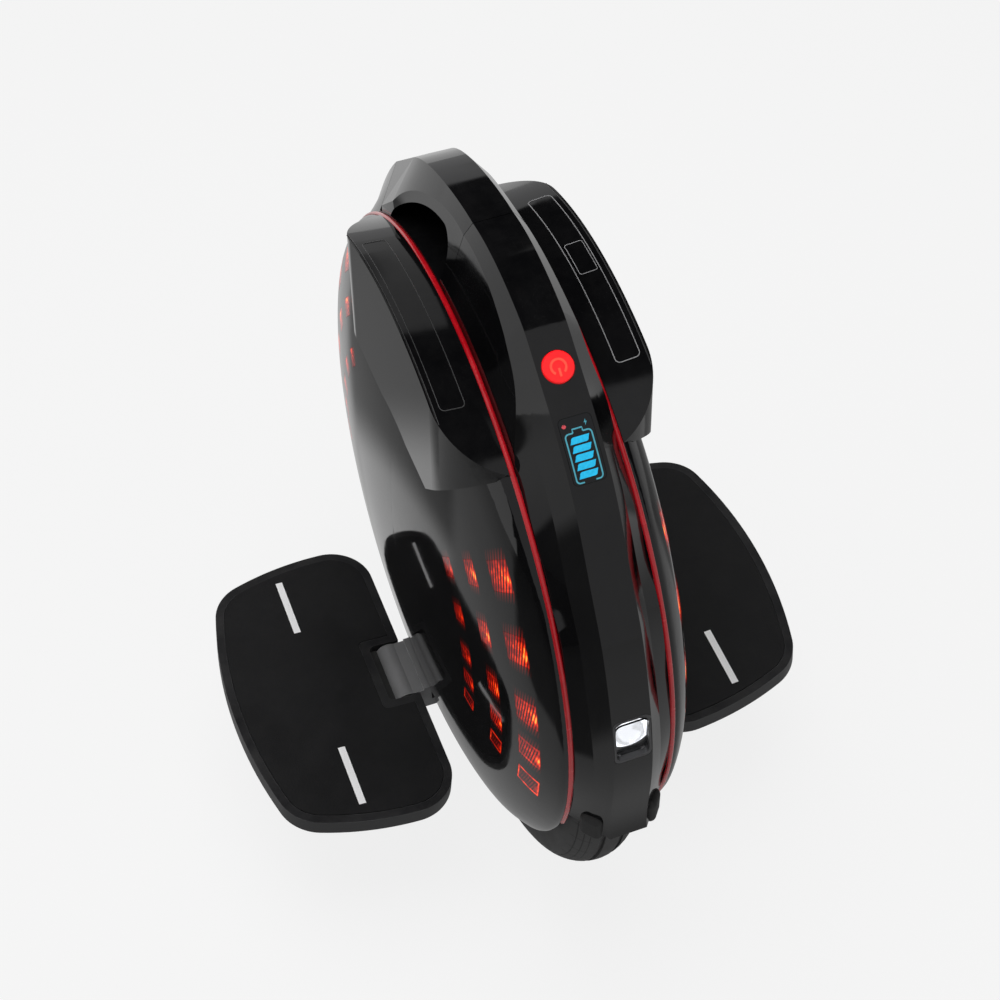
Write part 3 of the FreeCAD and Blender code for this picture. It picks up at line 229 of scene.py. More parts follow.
# shared effect: edges painted paler than the faces between them, partly rubbed wear and partly a painted
# highlight
rubLook = {
    "sizes": {"Reach": 0.0008, "Patch Scale": 120.0},
    "samples": 4,
    "turned": (0.985, 0.86),
    "patch": {"Detail": 4.0},
    "patchRange": (0.3, 0.65, 0.35, 1.0),
}


def makeEdgeWearAndSheen():
    tree, source, result = newGroup("edgeWearAndSheen", rubLook["sizes"], ["Edge"])
    soft = addNode(tree, "ShaderNodeBevel", {"Radius": source.outputs["Reach"]}, samples=rubLook["samples"])
    plain = addNode(tree, "ShaderNodeNewGeometry").outputs["Normal"]
    match = addNode(tree, "ShaderNodeVectorMath", {0: soft.outputs[0], 1: plain}, operation="DOT_PRODUCT")
    turned = maskNode(tree, match.outputs["Value"], rubLook["turned"])
    patch = noiseNode(tree, objectPoint(tree), source.outputs["Patch Scale"], rubLook["patch"])
    worn = rangeNode(tree, patch, *rubLook["patchRange"])
    tree.links.new(mathNode(tree, "MULTIPLY", turned, worn), result.inputs["Edge"])


# shared effect: position about a level axle line, as radius and as angle from the top to either side
def makeAxlePolar():
    tree, source, result = newGroup("axlePolar", {"Centre Height": shellCentre.z}, ["Radius", "Angle"])
    parts = addNode(tree, "ShaderNodeSeparateXYZ", {0: objectPoint(tree)})
    height = mathNode(tree, "SUBTRACT", parts.outputs["Z"], source.outputs["Centre Height"])
    reach = mathNode(tree, "ABSOLUTE", parts.outputs["Y"])
    squares = mathNode(
        tree, "ADD", mathNode(tree, "MULTIPLY", reach, reach), mathNode(tree, "MULTIPLY", height, height)
    )
    tree.links.new(mathNode(tree, "SQRT", squares), result.inputs["Radius"])
    tree.links.new(mathNode(tree, "ARCTAN2", reach, height), result.inputs["Angle"])


makeWipeMarks()
makeMouldGrain()
makeDustFilm()
makeEdgeWearAndSheen()
makeAxlePolar()
print("shared effects ready")

# side lights: rows as inner and outer radius with a level, tiles as angle with glow, spot and outline levels
tileLook = {
    "rows": ((0.115, 0.127, 0.6), (0.147, 0.159, 0.9), (0.175, 0.192, 1.0)),
    "tiles": (
        (49.0, 1.0, 0.8, 0.1),
        (63.0, 1.0, 0.8, 0.1),
        (77.0, 0.95, 0.75, 0.16),
        (88.0, 0.6, 1.0, 0.4),
        (98.5, 0.14, 0.3, 1.0),
    ),
    "firstAngle": 40.0,
    "angleSpan": 70.0,
    "firstRadius": 0.11,
    "radiusSpan": 0.09,
    "bars": {"Pitch": 0.0031, "Lean": 0.42},
    "barLimits": (0.12, 0.36),
    "strength": 1.25,
    "paintedGlowStrength": 0.55,
}

# light along a tile, as degrees from its middle and a share, and across a row, as an end, offset and share
tileProfiles = {
    "alongGlow": ((-5.2, 0), (-3.0, 0.3), (-0.6, 1), (2.0, 0.75), (3.6, 0.18), (5.0, 0)),
    "acrossGlow": ((0, -0.0005, 0), (0, 0.001, 0.4), (1, 0.002, 1), (2, -0.001, 0.95), (2, 0.0004, 0)),
    "alongSpot": ((-1.2, 0), (0.6, 1), (2.2, 0)),
    "acrossSpot": ((2, -0.0042, 0), (2, -0.0015, 1), (2, -0.0004, 0.6), (2, 0.0002, 0)),
    "alongEdge": ((-3.0, 0), (-2.6, 1), (-2.2, 0), (2.2, 0), (2.6, 1), (3.0, 0)),
    "acrossAll": ((0, 0, 0), (0, 0.0003, 1), (2, -0.0003, 1), (2, 0, 0)),
    "alongAll": ((-3.0, 0), (-2.9, 1), (2.9, 1), (3.0, 0)),
    "acrossEdge": ((0, 0, 0), (0, 0.0006, 1), (0, 0.0014, 0), (2, -0.0014, 0), (2, -0.0006, 1), (2, 0, 0)),
}


def tileStops(level, profile):
    stops = []
    for tile in tileLook["tiles"]:
        for offset, share in profile:
            place = (tile[0] + offset - tileLook["firstAngle"]) / tileLook["angleSpan"]
            stops.append((place, tile[level] * share))
    return stops


def rowStops(profile):
    stops = []
    for inner, outer, level in tileLook["rows"]:
        for end, offset, share in profile:
            radius = (inner, (inner + outer) / 2, outer)[end] + offset
            stops.append(((radius - tileLook["firstRadius"]) / tileLook["radiusSpan"], level * share))
    return stops


# shared effect: slanted bars that are bright in each tile and fade past it, with a hot spot and a lit outline
def makeTileGlow():
    tree, source, result = newGroup("tileGlow", tileLook["bars"], ["Glow", "Spot", "Outline"])
    polar = useGroup(tree, "axlePolar", {"Centre Height": shellCentre.z})
    radius, angle = polar.outputs["Radius"], polar.outputs["Angle"]
    along = mathNode(tree, "MULTIPLY", angle, radius)
    across = mathNode(tree, "ADD", radius, mathNode(tree, "MULTIPLY", along, source.outputs["Lean"]))
    step = mathNode(tree, "FRACT", mathNode(tree, "DIVIDE", across, source.outputs["Pitch"]))
    bars = maskNode(tree, mathNode(tree, "PINGPONG", step, 0.5), tileLook["barLimits"], True)
    firstAngle = math.radians(tileLook["firstAngle"])
    lastAngle = math.radians(tileLook["firstAngle"] + tileLook["angleSpan"])
    turn = maskNode(tree, angle, (firstAngle, lastAngle))
    lastRadius = tileLook["firstRadius"] + tileLook["radiusSpan"]
    out = maskNode(tree, radius, (tileLook["firstRadius"], lastRadius))

    def alongRamp(name, level):
        return rampNode(tree, turn, tileStops(level, tileProfiles[name]))

    def acrossRamp(name):
        return rampNode(tree, out, rowStops(tileProfiles[name]))

    lit = mathNode(tree, "MULTIPLY", alongRamp("alongGlow", 1), acrossRamp("acrossGlow"))
    tree.links.new(mathNode(tree, "MULTIPLY", bars, lit), result.inputs["Glow"])
    spot = mathNode(tree, "MULTIPLY", alongRamp("alongSpot", 2), acrossRamp("acrossSpot"))
    tree.links.new(spot, result.inputs["Spot"])
    alongEdge, acrossAll = alongRamp("alongEdge", 3), acrossRamp("acrossAll")
    alongAll, acrossEdge = alongRamp("alongAll", 3), acrossRamp("acrossEdge")
    ends = mathNode(tree, "MULTIPLY", alongEdge, acrossAll)
    outline = mathNode(tree, "MAXIMUM", ends, mathNode(tree, "MULTIPLY", alongAll, acrossEdge))
    tree.links.new(outline, result.inputs["Outline"])


makeTileGlow()

finishes = {}
unlit = (0.0, 0.0, 0.0)


# grained finishes: plastics, rubbers and bare metals that differ only in their values
grainedLooks = {
    "frame_plastic": {
        "tones": ((0.012, 0.012, 0.013), (0.02, 0.02, 0.021)),
        "rough": (0.45, 0.6),
        "grain": 1400,
        "depth": 0.08,
    },
    "switch_plastic": {
        "tones": ((0.014, 0.014, 0.015), (0.026, 0.026, 0.027)),
        "rough": (0.38, 0.5),
        "grain": 1800,
        "depth": 0.06,
    },
    "bumper_rubber": {
        "tones": ((0.011, 0.011, 0.011), (0.02, 0.02, 0.02)),
        "rough": (0.6, 0.8),
        "grain": 900,
        "depth": 0.2,
    },
    "tube_rubber": {
        "tones": ((0.014, 0.014, 0.014), (0.024, 0.024, 0.023)),
        "rough": (0.6, 0.75),
        "grain": 700,
        "depth": 0.1,
    },
    "pedal_alloy": {
        "tones": ((0.011, 0.011, 0.012), (0.019, 0.019, 0.02)),
        "rough": (0.36, 0.5),
        "grain": 1600,
        "depth": 0.12,
        # paler edge colour: partly rubbed wear, partly a painted highlight
        "edge": (0.06, 0.06, 0.062),
    },
    "battery_wrap": {
        "tones": ((0.02, 0.05, 0.16), (0.03, 0.07, 0.2)),
        "rough": (0.25, 0.4),
        "grain": 300,
        "depth": 0.05,
    },
    "board": {
        "tones": ((0.008, 0.06, 0.022), (0.015, 0.09, 0.034)),
        "rough": (0.35, 0.5),
        "grain": 600,
        "depth": 0.1,
    },
    "magnet": {
        "tones": ((0.3, 0.3, 0.31), (0.42, 0.42, 0.43)),
        "rough": (0.25, 0.4),
        "grain": 900,
        "depth": 0.05,
        "metal": 1.0,
    },
    "stator_steel": {
        "tones": ((0.28, 0.28, 0.29), (0.36, 0.36, 0.37)),
        "rough": (0.4, 0.55),
        "grain": 2000,
        "depth": 0.1,
        "metal": 1.0,
    },
    "copper": {
        "tones": ((0.62, 0.25, 0.11), (0.75, 0.34, 0.17)),
        "rough": (0.25, 0.4),
        "grain": 900,
        "depth": 0.1,
        "metal": 1.0,
    },
    "steel": {
        "tones": ((0.42, 0.42, 0.43), (0.52, 0.52, 0.53)),
        "rough": (0.25, 0.4),
        "grain": 1800,
        "depth": 0.05,
        "metal": 1.0,
    },
    "rim_alloy": {
        "tones": ((0.05, 0.05, 0.052), (0.08, 0.08, 0.083)),
        "rough": (0.35, 0.5),
        "grain": 1500,
        "depth": 0.1,
        "metal": 0.6,
    },
    "bracket_alloy": {
        "tones": ((0.15, 0.15, 0.152), (0.195, 0.195, 0.198)),
        "rough": (0.42, 0.52),
        "grain": 1500,
        "depth": 0.16,
        "metal": 0.2,
        # paler edge colour: partly rubbed wear, partly a painted highlight
        "edge": (0.34, 0.34, 0.34),
    },
    # line finishes for the beads: line_grey and line_faint as painted highlight, line_dark as painted shade
    "line_grey": {
        "tones": ((0.2, 0.2, 0.205), (0.28, 0.28, 0.285)),
        "rough": (0.3, 0.42),
        "grain": 2000,
        "depth": 0.03,
    },
    "line_faint": {
        "tones": ((0.03, 0.03, 0.031), (0.045, 0.045, 0.046)),
        "rough": (0.3, 0.42),
        "grain": 2000,
        "depth": 0.03,
    },
    "line_dark": {
        "tones": ((0.004, 0.004, 0.004), (0.007, 0.007, 0.007)),
        "rough": (0.6, 0.75),
        "grain": 2000,
        "depth": 0.03,
    },
}
grainedBase = {
    "toneScale": 22,
    "dust": {"Scale": 70, "Amount": 0.04},
    "rub": {"Reach": 0.0007, "Patch Scale": 120},
    "bump": 0.0003,
}


def makeGrained(name, look):
    material, tree, shader = newMaterial(name)
    scales = {"Grain Scale": look["grain"], "Tone Scale": grainedBase["toneScale"]}
    grain = useGroup(tree, "mouldGrain", scales)
    dust = useGroup(tree, "dustFilm", grainedBase["dust"])
    colour = mixColour(tree, grain.outputs["Tone"], *look["tones"])
    # pale edges mixed in: partly rubbed wear, partly a painted highlight
    if "edge" in look:
        rub = useGroup(tree, "edgeWearAndSheen", grainedBase["rub"])
        colour = mixColour(tree, rub.outputs["Edge"], colour, look["edge"])
    colour = mixColour(tree, dust.outputs["Dust"], colour, dustLook["tone"])
    tree.links.new(colour, shader.inputs["Base Color"])
    tree.links.new(blendNode(tree, grain.outputs["Tone"], look["rough"]), shader.inputs["Roughness"])
    shader.inputs["Metallic"].default_value = look.get("metal", 0.0)
    addBump(tree, shader, grain.outputs["Grain"], look["depth"], grainedBase["bump"])
    return material


for slotName, slotLook in grainedLooks.items():
    finishes[slotName] = makeGrained(slotName, slotLook)
print("grained finishes:", len(grainedLooks))


# glossy black shell, pads and spine, and the side covers, which get a painted glow of the side lights round
# the tiles
glossLook = {
    "deep": (0.0022, 0.0022, 0.0025),
    "pale": (0.0042, 0.0042, 0.0046),
    "rough": (0.045, 0.11),
    "hair": 0.05,
    "marks": {"Scale": 16, "Hairline Scale": 1400},
    "dust": {"Scale": 95, "Amount": 0.006},
    "dustTone": (0.4, 0.38, 0.36),
    "bend": 1.5,
    "paintedTileGlow": (1.0, 0.03, 0.008),
}


def makeGlossBlack(name, lit):
    material, tree, shader = newMaterial(name)
    marks = useGroup(tree, "wipeMarks", glossLook["marks"])
    dust = useGroup(tree, "dustFilm", glossLook["dust"])
    colour = mixColour(tree, marks.outputs["Cloud"], glossLook["deep"], glossLook["pale"])
    colour = mixColour(tree, dust.outputs["Dust"], colour, glossLook["dustTone"])
    tree.links.new(colour, shader.inputs["Base Color"])
    rough = blendNode(tree, marks.outputs["Cloud"], glossLook["rough"])
    hair = mathNode(tree, "MULTIPLY", marks.outputs["Hairlines"], glossLook["hair"])
    tree.links.new(mathNode(tree, "ADD", rough, hair), shader.inputs["Roughness"])
    shader.inputs["IOR"].default_value = glossLook["bend"]
    # painted glow: the side lights' light painted onto the black cover as emission round the tiles
    if lit:
        glow = useGroup(tree, "tileGlow", tileLook["bars"])
        light = mixColour(tree, glow.outputs["Glow"], unlit, glossLook["paintedTileGlow"])
        tree.links.new(light, shader.inputs["Emission Color"])
        shader.inputs["Emission Strength"].default_value = tileLook["paintedGlowStrength"]
    return material


finishes["gloss_black"] = makeGlossBlack("gloss_black", False)
coverBlack = makeGlossBlack("cover_black", True)


# red lenses of the side lights
lensLook = {
    "flickerScale": 240.0,
    "flicker": {"Detail": 3.0},
    "spark": (0.36, 0.66, 0.35, 1.0),
    "light": (
        (0.0, (0.012, 0.0, 0.0)),
        (0.3, (0.34, 0.004, 0.0)),
        (0.75, (1.0, 0.05, 0.004)),
        (1.0, (1.0, 0.4, 0.05)),
    ),
    "tones": ((0.006, 0.001, 0.001), (0.12, 0.004, 0.002)),
    "rough": (0.3, 0.7, 0.05, 0.12),
}


def makeTileLens():
    material, tree, shader = newMaterial("tile_lens")
    glow = useGroup(tree, "tileGlow", tileLook["bars"])
    flicker = noiseNode(tree, objectPoint(tree), lensLook["flickerScale"], lensLook["flicker"])
    spark = rangeNode(tree, flicker, *lensLook["spark"], True)
    level = mathNode(tree, "MULTIPLY", glow.outputs["Glow"], spark)
    level = mathNode(tree, "ADD", level, mathNode(tree, "MULTIPLY", glow.outputs["Outline"], spark))
    level = mathNode(tree, "ADD", level, glow.outputs["Spot"], True)
    tree.links.new(rampNode(tree, level, lensLook["light"]), shader.inputs["Emission Color"])
    shader.inputs["Emission Strength"].default_value = tileLook["strength"]
    tree.links.new(mixColour(tree, level, *lensLook["tones"]), shader.inputs["Base Color"])
    tree.links.new(rangeNode(tree, flicker, *lensLook["rough"]), shader.inputs["Roughness"])
    return material


finishes["tile_lens"] = makeTileLens()


# red pieces: the two trims, the button and the tail lens
redLooks = {
    "red_trim": {
        "tones": ((0.36, 0.003, 0.008), (0.46, 0.007, 0.014)),
        "rough": (0.2, 0.3),
        "glow": 0.06,
        "coat": 0.6,
    },
    "red_button": {
        "tones": ((0.86, 0.008, 0.012), (0.93, 0.014, 0.016)),
        "rough": (0.3, 0.42),
        "glow": 0.35,
        "coat": 0.0,
    },
    "red_mark": {
        "tones": ((0.9, 0.06, 0.035), (0.95, 0.08, 0.045)),
        "rough": (0.3, 0.42),
        "glow": 0.4,
        "coat": 0.0,
    },
    "red_lens": {
        "tones": ((0.4, 0.003, 0.006), (0.5, 0.006, 0.01)),
        "rough": (0.08, 0.16),
        "glow": 0.12,
        "coat": 0.5,
        "ribs": 2600.0,
    },
}
redBase = {"marks": {"Scale": 40, "Hairline Scale": 1600}, "coatRough": 0.08, "ribBump": (0.5, 0.0004)}


def makeRed(name, look):
    material, tree, shader = newMaterial(name)
    marks = useGroup(tree, "wipeMarks", redBase["marks"])
    colour = mixColour(tree, marks.outputs["Cloud"], *look["tones"])
    tree.links.new(colour, shader.inputs["Base Color"])
    tree.links.new(blendNode(tree, marks.outputs["Cloud"], look["rough"]), shader.inputs["Roughness"])
    shader.inputs["Coat Weight"].default_value = look["coat"]
    shader.inputs["Coat Roughness"].default_value = redBase["coatRough"]
    if "ribs" in look:
        height = addNode(tree, "ShaderNodeSeparateXYZ", {0: objectPoint(tree)}).outputs["Z"]
        wave = mathNode(tree, "SINE", mathNode(tree, "MULTIPLY", height, look["ribs"]))
        addBump(tree, shader, wave, *redBase["ribBump"])
    # each red piece glows in its own red; on the trims, the button and its power symbol this glow is painted
    # light, as they are no lamps
    tree.links.new(colour, shader.inputs["Emission Color"])
    shader.inputs["Emission Strength"].default_value = look["glow"]
    return material


for slotName, slotLook in redLooks.items():
    finishes[slotName] = makeRed(slotName, slotLook)


# headlight: bright dish behind a clear lens, in a dark recess
lampLook = {
    "dishStart": -0.2131,
    "dish": (0.86, 0.87, 0.9),
    "recess": (0.05, 0.05, 0.052),
    "glow": 0.75,
    "recessRough": 0.4,
    "dishPolish": 0.26,
    "dishMetal": 0.9,
    "smear": 0.06,
    "marks": {"Scale": 120, "Hairline Scale": 1500},
    "lensMarks": {"Scale": 60, "Hairline Scale": 1500},
    "lensRough": (0.02, 0.07),
    "lensTone": (0.96, 0.97, 0.98, 1),
    "lensBend": 1.45,
}


def makeWhiteReflector():
    material, tree, shader = newMaterial("white_reflector")
    marks = useGroup(tree, "wipeMarks", lampLook["marks"])
    depth = addNode(tree, "ShaderNodeSeparateXYZ", {0: objectPoint(tree)}).outputs["Y"]
    dish = mathNode(tree, "GREATER_THAN", depth, lampLook["dishStart"])
    colour = mixColour(tree, dish, lampLook["recess"], lampLook["dish"])
    tree.links.new(colour, shader.inputs["Base Color"])
    polish = mathNode(tree, "MULTIPLY", dish, lampLook["dishPolish"])
    rough = mathNode(tree, "SUBTRACT", lampLook["recessRough"], polish)
    smear = mathNode(tree, "MULTIPLY", marks.outputs["Cloud"], lampLook["smear"])
    tree.links.new(mathNode(tree, "ADD", rough, smear), shader.inputs["Roughness"])
    tree.links.new(mathNode(tree, "MULTIPLY", dish, lampLook["dishMetal"]), shader.inputs["Metallic"])
    tree.links.new(mixColour(tree, dish, unlit, lampLook["dish"]), shader.inputs["Emission Color"])
    shader.inputs["Emission Strength"].default_value = lampLook["glow"]
    return material


def makeClearLens():
    material, tree, shader = newMaterial("clear_lens")
    marks = useGroup(tree, "wipeMarks", lampLook["lensMarks"])
    tree.links.new(blendNode(tree, marks.outputs["Cloud"], lampLook["lensRough"]), shader.inputs["Roughness"])
    shader.inputs["Base Color"].default_value = lampLook["lensTone"]
    shader.inputs["Transmission Weight"].default_value = 1.0
    shader.inputs["IOR"].default_value = lampLook["lensBend"]
    return material


# dark gauge window
glassLook = {
    "marks": {"Scale": 55, "Hairline Scale": 1800},
    "tones": ((0.001, 0.0014, 0.002), (0.002, 0.0028, 0.0042)),
    "rough": (0.04, 0.09),
}


def makeDisplayGlass():
    material, tree, shader = newMaterial("display_glass")
    marks = useGroup(tree, "wipeMarks", glassLook["marks"])
    colour = mixColour(tree, marks.outputs["Cloud"], *glassLook["tones"])
    tree.links.new(colour, shader.inputs["Base Color"])
    tree.links.new(blendNode(tree, marks.outputs["Cloud"], glassLook["rough"]), shader.inputs["Roughness"])
    return material


finishes["white_reflector"] = makeWhiteReflector()
finishes["clear_lens"] = makeClearLens()
finishes["display_glass"] = makeDisplayGlass()


# tyre rubber: moulded rings on its walls, and fine cut lines round and across the shoulders, bumped in and
# painted near black as shade
tyreLook = {
    "tones": ((0.026, 0.026, 0.027), (0.044, 0.043, 0.042)),
    "cut": (0.003, 0.003, 0.003),
    "grain": {"Grain Scale": 800, "Tone Scale": 30},
    "axleHeight": 0.203,
    "rings": 1600.0,
    "wall": (0.172, 0.176, 1.0, 0.0),
    "shoulder": (0.0125, 0.0235),
    "linePitch": 0.0034,
    "lineShare": 0.16,
    "crossCount": 9.0,
    "crossShare": 0.035,
    "rough": (0.6, 0.8),
    "bump": (0.3, 0.0004),
}


def makeTyreRubber():
    material, tree, shader = newMaterial("tyre_rubber")
    grain = useGroup(tree, "mouldGrain", tyreLook["grain"])
    polar = useGroup(tree, "axlePolar", {"Centre Height": tyreLook["axleHeight"]})
    rings = mathNode(tree, "SINE", mathNode(tree, "MULTIPLY", polar.outputs["Radius"], tyreLook["rings"]))
    wall = rangeNode(tree, polar.outputs["Radius"], *tyreLook["wall"], True)
    across = addNode(tree, "ShaderNodeSeparateXYZ", {0: objectPoint(tree)}).outputs["X"]
    across = mathNode(tree, "ABSOLUTE", across)
    low, high = tyreLook["shoulder"]
    outside = mathNode(tree, "GREATER_THAN", across, low)
    shoulder = mathNode(tree, "MULTIPLY", outside, mathNode(tree, "LESS_THAN", across, high))
    share = mathNode(tree, "FRACT", mathNode(tree, "DIVIDE", across, tyreLook["linePitch"]))
    turns = mathNode(tree, "MULTIPLY", polar.outputs["Angle"], tyreLook["crossCount"])
    turn = mathNode(tree, "FRACT", turns)
    lengthwise = mathNode(tree, "LESS_THAN", share, tyreLook["lineShare"])
    crosswise = mathNode(tree, "LESS_THAN", turn, tyreLook["crossShare"])
    cuts = mathNode(tree, "MAXIMUM", lengthwise, crosswise)
    cuts = mathNode(tree, "MULTIPLY", cuts, shoulder)
    colour = mixColour(tree, grain.outputs["Tone"], *tyreLook["tones"])
    # painted shade: the cut lines coloured near black
    colour = mixColour(tree, cuts, colour, tyreLook["cut"])
    tree.links.new(colour, shader.inputs["Base Color"])
    tree.links.new(blendNode(tree, grain.outputs["Tone"], tyreLook["rough"]), shader.inputs["Roughness"])
    height = mathNode(tree, "ADD", grain.outputs["Grain"], mathNode(tree, "MULTIPLY", rings, wall))
    addBump(tree, shader, mathNode(tree, "SUBTRACT", height, cuts), *tyreLook["bump"])
    return material


finishes["tyre_rubber"] = makeTyreRubber()


# pedal mats: pebbled rubber with two painted stripes along each
matLook = {
    "tones": ((0.0085, 0.0085, 0.009), (0.0105, 0.0105, 0.011)),
    "grain": {"Grain Scale": 1100, "Tone Scale": 22},
    "dust": {"Scale": 70, "Amount": 0.008},
    "paint": (0.86, 0.86, 0.86),
    "place": 0.1342,
    "width": 0.0024,
    "stripe": (0.0508, 0.0977),
    "topFacing": 0.9,
    "wear": (0.3, 0.42, 0.8, 1.0),
    "rough": (0.55, 0.72),
    "pebbleScale": 900.0,
    "pebbleShare": 0.6,
    "bump": (0.22, 0.0003),
}


def makeMatRubber():
    material, tree, shader = newMaterial("mat_rubber")
    grain = useGroup(tree, "mouldGrain", matLook["grain"])
    dust = useGroup(tree, "dustFilm", matLook["dust"])
    coords = addNode(tree, "ShaderNodeTexCoord")
    parts = addNode(tree, "ShaderNodeSeparateXYZ", {0: coords.outputs["Object"]})
    facing = addNode(tree, "ShaderNodeSeparateXYZ", {0: coords.outputs["Normal"]})
    out = mathNode(tree, "ABSOLUTE", parts.outputs["X"])
    along = mathNode(tree, "ABSOLUTE", parts.outputs["Y"])
    inside = mathNode(tree, "COMPARE", out, matLook["place"])
    inside.node.inputs[2].default_value = matLook["width"]
    middle = (matLook["stripe"][0] + matLook["stripe"][1]) / 2
    length = mathNode(tree, "COMPARE", along, middle)
    length.node.inputs[2].default_value = matLook["stripe"][1] - middle
    top = mathNode(tree, "GREATER_THAN", facing.outputs["Z"], matLook["topFacing"])
    stripe = mathNode(tree, "MULTIPLY", mathNode(tree, "MULTIPLY", inside, length), top)
    wear = rangeNode(tree, grain.outputs["Grain"], *matLook["wear"])
    colour = mixColour(tree, grain.outputs["Tone"], *matLook["tones"])
    colour = mixColour(tree, dust.outputs["Dust"], colour, dustLook["tone"])
    colour = mixColour(tree, mathNode(tree, "MULTIPLY", stripe, wear), colour, matLook["paint"])
    tree.links.new(colour, shader.inputs["Base Color"])
    tree.links.new(blendNode(tree, grain.outputs["Tone"], matLook["rough"]), shader.inputs["Roughness"])
    pebbleInputs = {"Vector": coords.outputs["Object"], "Scale": matLook["pebbleScale"]}
    pebble = addNode(tree, "ShaderNodeTexVoronoi", pebbleInputs).outputs["Distance"]
    pebble = mathNode(tree, "MULTIPLY", pebble, matLook["pebbleShare"])
    addBump(tree, shader, mathNode(tree, "ADD", grain.outputs["Grain"], pebble), *matLook["bump"])
    return material


finishes["mat_rubber"] = makeMatRubber()


# lit marks on the gauge: each as a colour and a strength
markLook = {
    "blue": ((0.0, 0.5, 0.85), 1.0),
    "teal": ((0.06, 0.33, 0.42), 1.0),
    "red": ((0.75, 0.05, 0.06), 0.9),
    "noiseScale": 700.0,
    "noise": {"Detail": 2.0},
    "noiseLimits": (0.3, 0.7),
    "dim": 0.82,
    "tones": ((0.01, 0.03, 0.04), (0.02, 0.05, 0.06)),
    "rough": 0.3,
}


def makeLitMark(name, colour, strength):
    material, tree, shader = newMaterial(name)
    noise = noiseNode(tree, objectPoint(tree), markLook["noiseScale"], markLook["noise"])
    level = maskNode(tree, noise, markLook["noiseLimits"])
    dim = tuple(part * markLook["dim"] for part in colour)
    tree.links.new(mixColour(tree, level, dim, colour), shader.inputs["Emission Color"])
    shader.inputs["Emission Strength"].default_value = strength
    tree.links.new(mixColour(tree, level, *markLook["tones"]), shader.inputs["Base Color"])
    shader.inputs["Roughness"].default_value = markLook["rough"]
    return material


gaugeBlue = makeLitMark("gauge_blue", *markLook["blue"])
gaugeTeal = makeLitMark("gauge_teal", *markLook["teal"])
gaugeRed = makeLitMark("gauge_red", *markLook["red"])

for nodeName, node in nodes.items():
    node.data.materials.clear()
    finish = finishes["gloss_black"] if nodeName == "charge_door" else finishes[nodeSlots[nodeName]]
    node.data.materials.append(coverBlack if nodeName.startswith("side_cover") else finish)
print("materials on", len(nodes), "nodes")


# helpers for pieces that are set on the CAD surfaces
def surfaceOf(*names):
    shape = bmesh.new()
    for name in names:
        shape.from_mesh(nodes[name].data)
    tree = BVHTree.FromBMesh(shape)
    shape.free()
    return tree


def outwardAt(angle):
    return Vector((0, -math.sin(angle), math.cos(angle)))


def newPiece(name, mesh, body, material=None):
    if material:
        mesh.materials.clear()
        mesh.materials.append(material)
    piece = bpy.data.objects.new(name, mesh)
    bpy.context.scene.collection.objects.link(piece)
    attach(piece, body)


def newTree(name, inputs):
    tree = bpy.data.node_groups.new(name, "GeometryNodeTree")
    tree.interface.new_socket("Geometry", in_out="INPUT", socket_type="NodeSocketGeometry")
    for label, kind in inputs.items():
        tree.interface.new_socket(label, in_out="INPUT", socket_type=kind)
    tree.interface.new_socket("Geometry", in_out="OUTPUT", socket_type="NodeSocketGeometry")
    return tree, tree.nodes.new("NodeGroupInput"), tree.nodes.new("NodeGroupOutput")


def endTree(tree, shape, source, result):
    real = addNode(tree, "GeometryNodeRealizeInstances", {0: shape})
    painted = addNode(
        tree, "GeometryNodeSetMaterial", {0: real.outputs[0], "Material": source.outputs["Material"]}
    )
    tree.links.new(painted.outputs[0], result.inputs[0])


def grownMesh(name, seedMesh, tree, values):
    seed = bpy.data.objects.new(name + "Seed", seedMesh)
    bpy.context.scene.collection.objects.link(seed)
    modifier = seed.modifiers.new("shape", "NODES")
    modifier.node_group = tree
    for item in tree.interface.items_tree:
        if item.in_out == "INPUT" and item.name in values:
            modifier[item.identifier] = values[item.name]
    grown = seed.evaluated_get(bpy.context.evaluated_depsgraph_get())
    mesh = bpy.data.meshes.new_from_object(grown)
    mesh.name = name
    bpy.data.objects.remove(seed, do_unlink=True)
    return mesh


def pathMesh(name, points, closed):
    mesh = bpy.data.meshes.new(name)
    steps = [(index, index + 1) for index in range(len(points) - 1)]
    if closed:
        steps.append((len(points) - 1, 0))
    mesh.from_pydata(points, steps, [])
    return mesh


# round bead swept along a path
def makeBeadTree():
    tree, source, result = newTree(
        "sweptBead", {"Radius": "NodeSocketFloat", "Sides": "NodeSocketInt", "Material": "NodeSocketMaterial"}
    )
    path = addNode(tree, "GeometryNodeMeshToCurve", {0: source.outputs["Geometry"]})
    section = addNode(
        tree,
        "GeometryNodeCurvePrimitiveCircle",
        {"Resolution": source.outputs["Sides"], "Radius": source.outputs["Radius"]},
    )
    sweep = addNode(
        tree,
        "GeometryNodeCurveToMesh",
        {"Curve": path.outputs[0], "Profile Curve": section.outputs[0], "Fill Caps": True},
    )
    smooth = addNode(tree, "GeometryNodeSetShadeSmooth", {0: sweep.outputs[0]})
    endTree(tree, smooth.outputs[0], source, result)
    return tree


beadTree = makeBeadTree()


# values that all outlines share
beadLook = {"cornerSteps": 5, "step": 0.003, "sides": 10, "above": 1}


def layBead(name, points, closed, look, sides, material, body):
    values = {"Radius": look["radius"], "Sides": sides, "Material": material}
    mesh = grownMesh(name, pathMesh(name + "Path", points, closed), beadTree, values)
    newPiece(name, mesh, body)


# rounded rectangle in plan, as points in order
def roundedPlan(low, high, corner, count):
    points = []
    ends = ((high[0], high[1], 0), (low[0], high[1], 90), (low[0], low[1], 180), (high[0], low[1], 270))
    for x, y, start in ends:
        inward = Vector((corner if x == low[0] else -corner, corner if y == low[1] else -corner))
        centre = Vector((x, y)) + inward
        for step in range(count + 1):
            turn = math.radians(start + 90 * step / count)
            points.append(centre + Vector((math.cos(turn), math.sin(turn))) * corner)
    return points


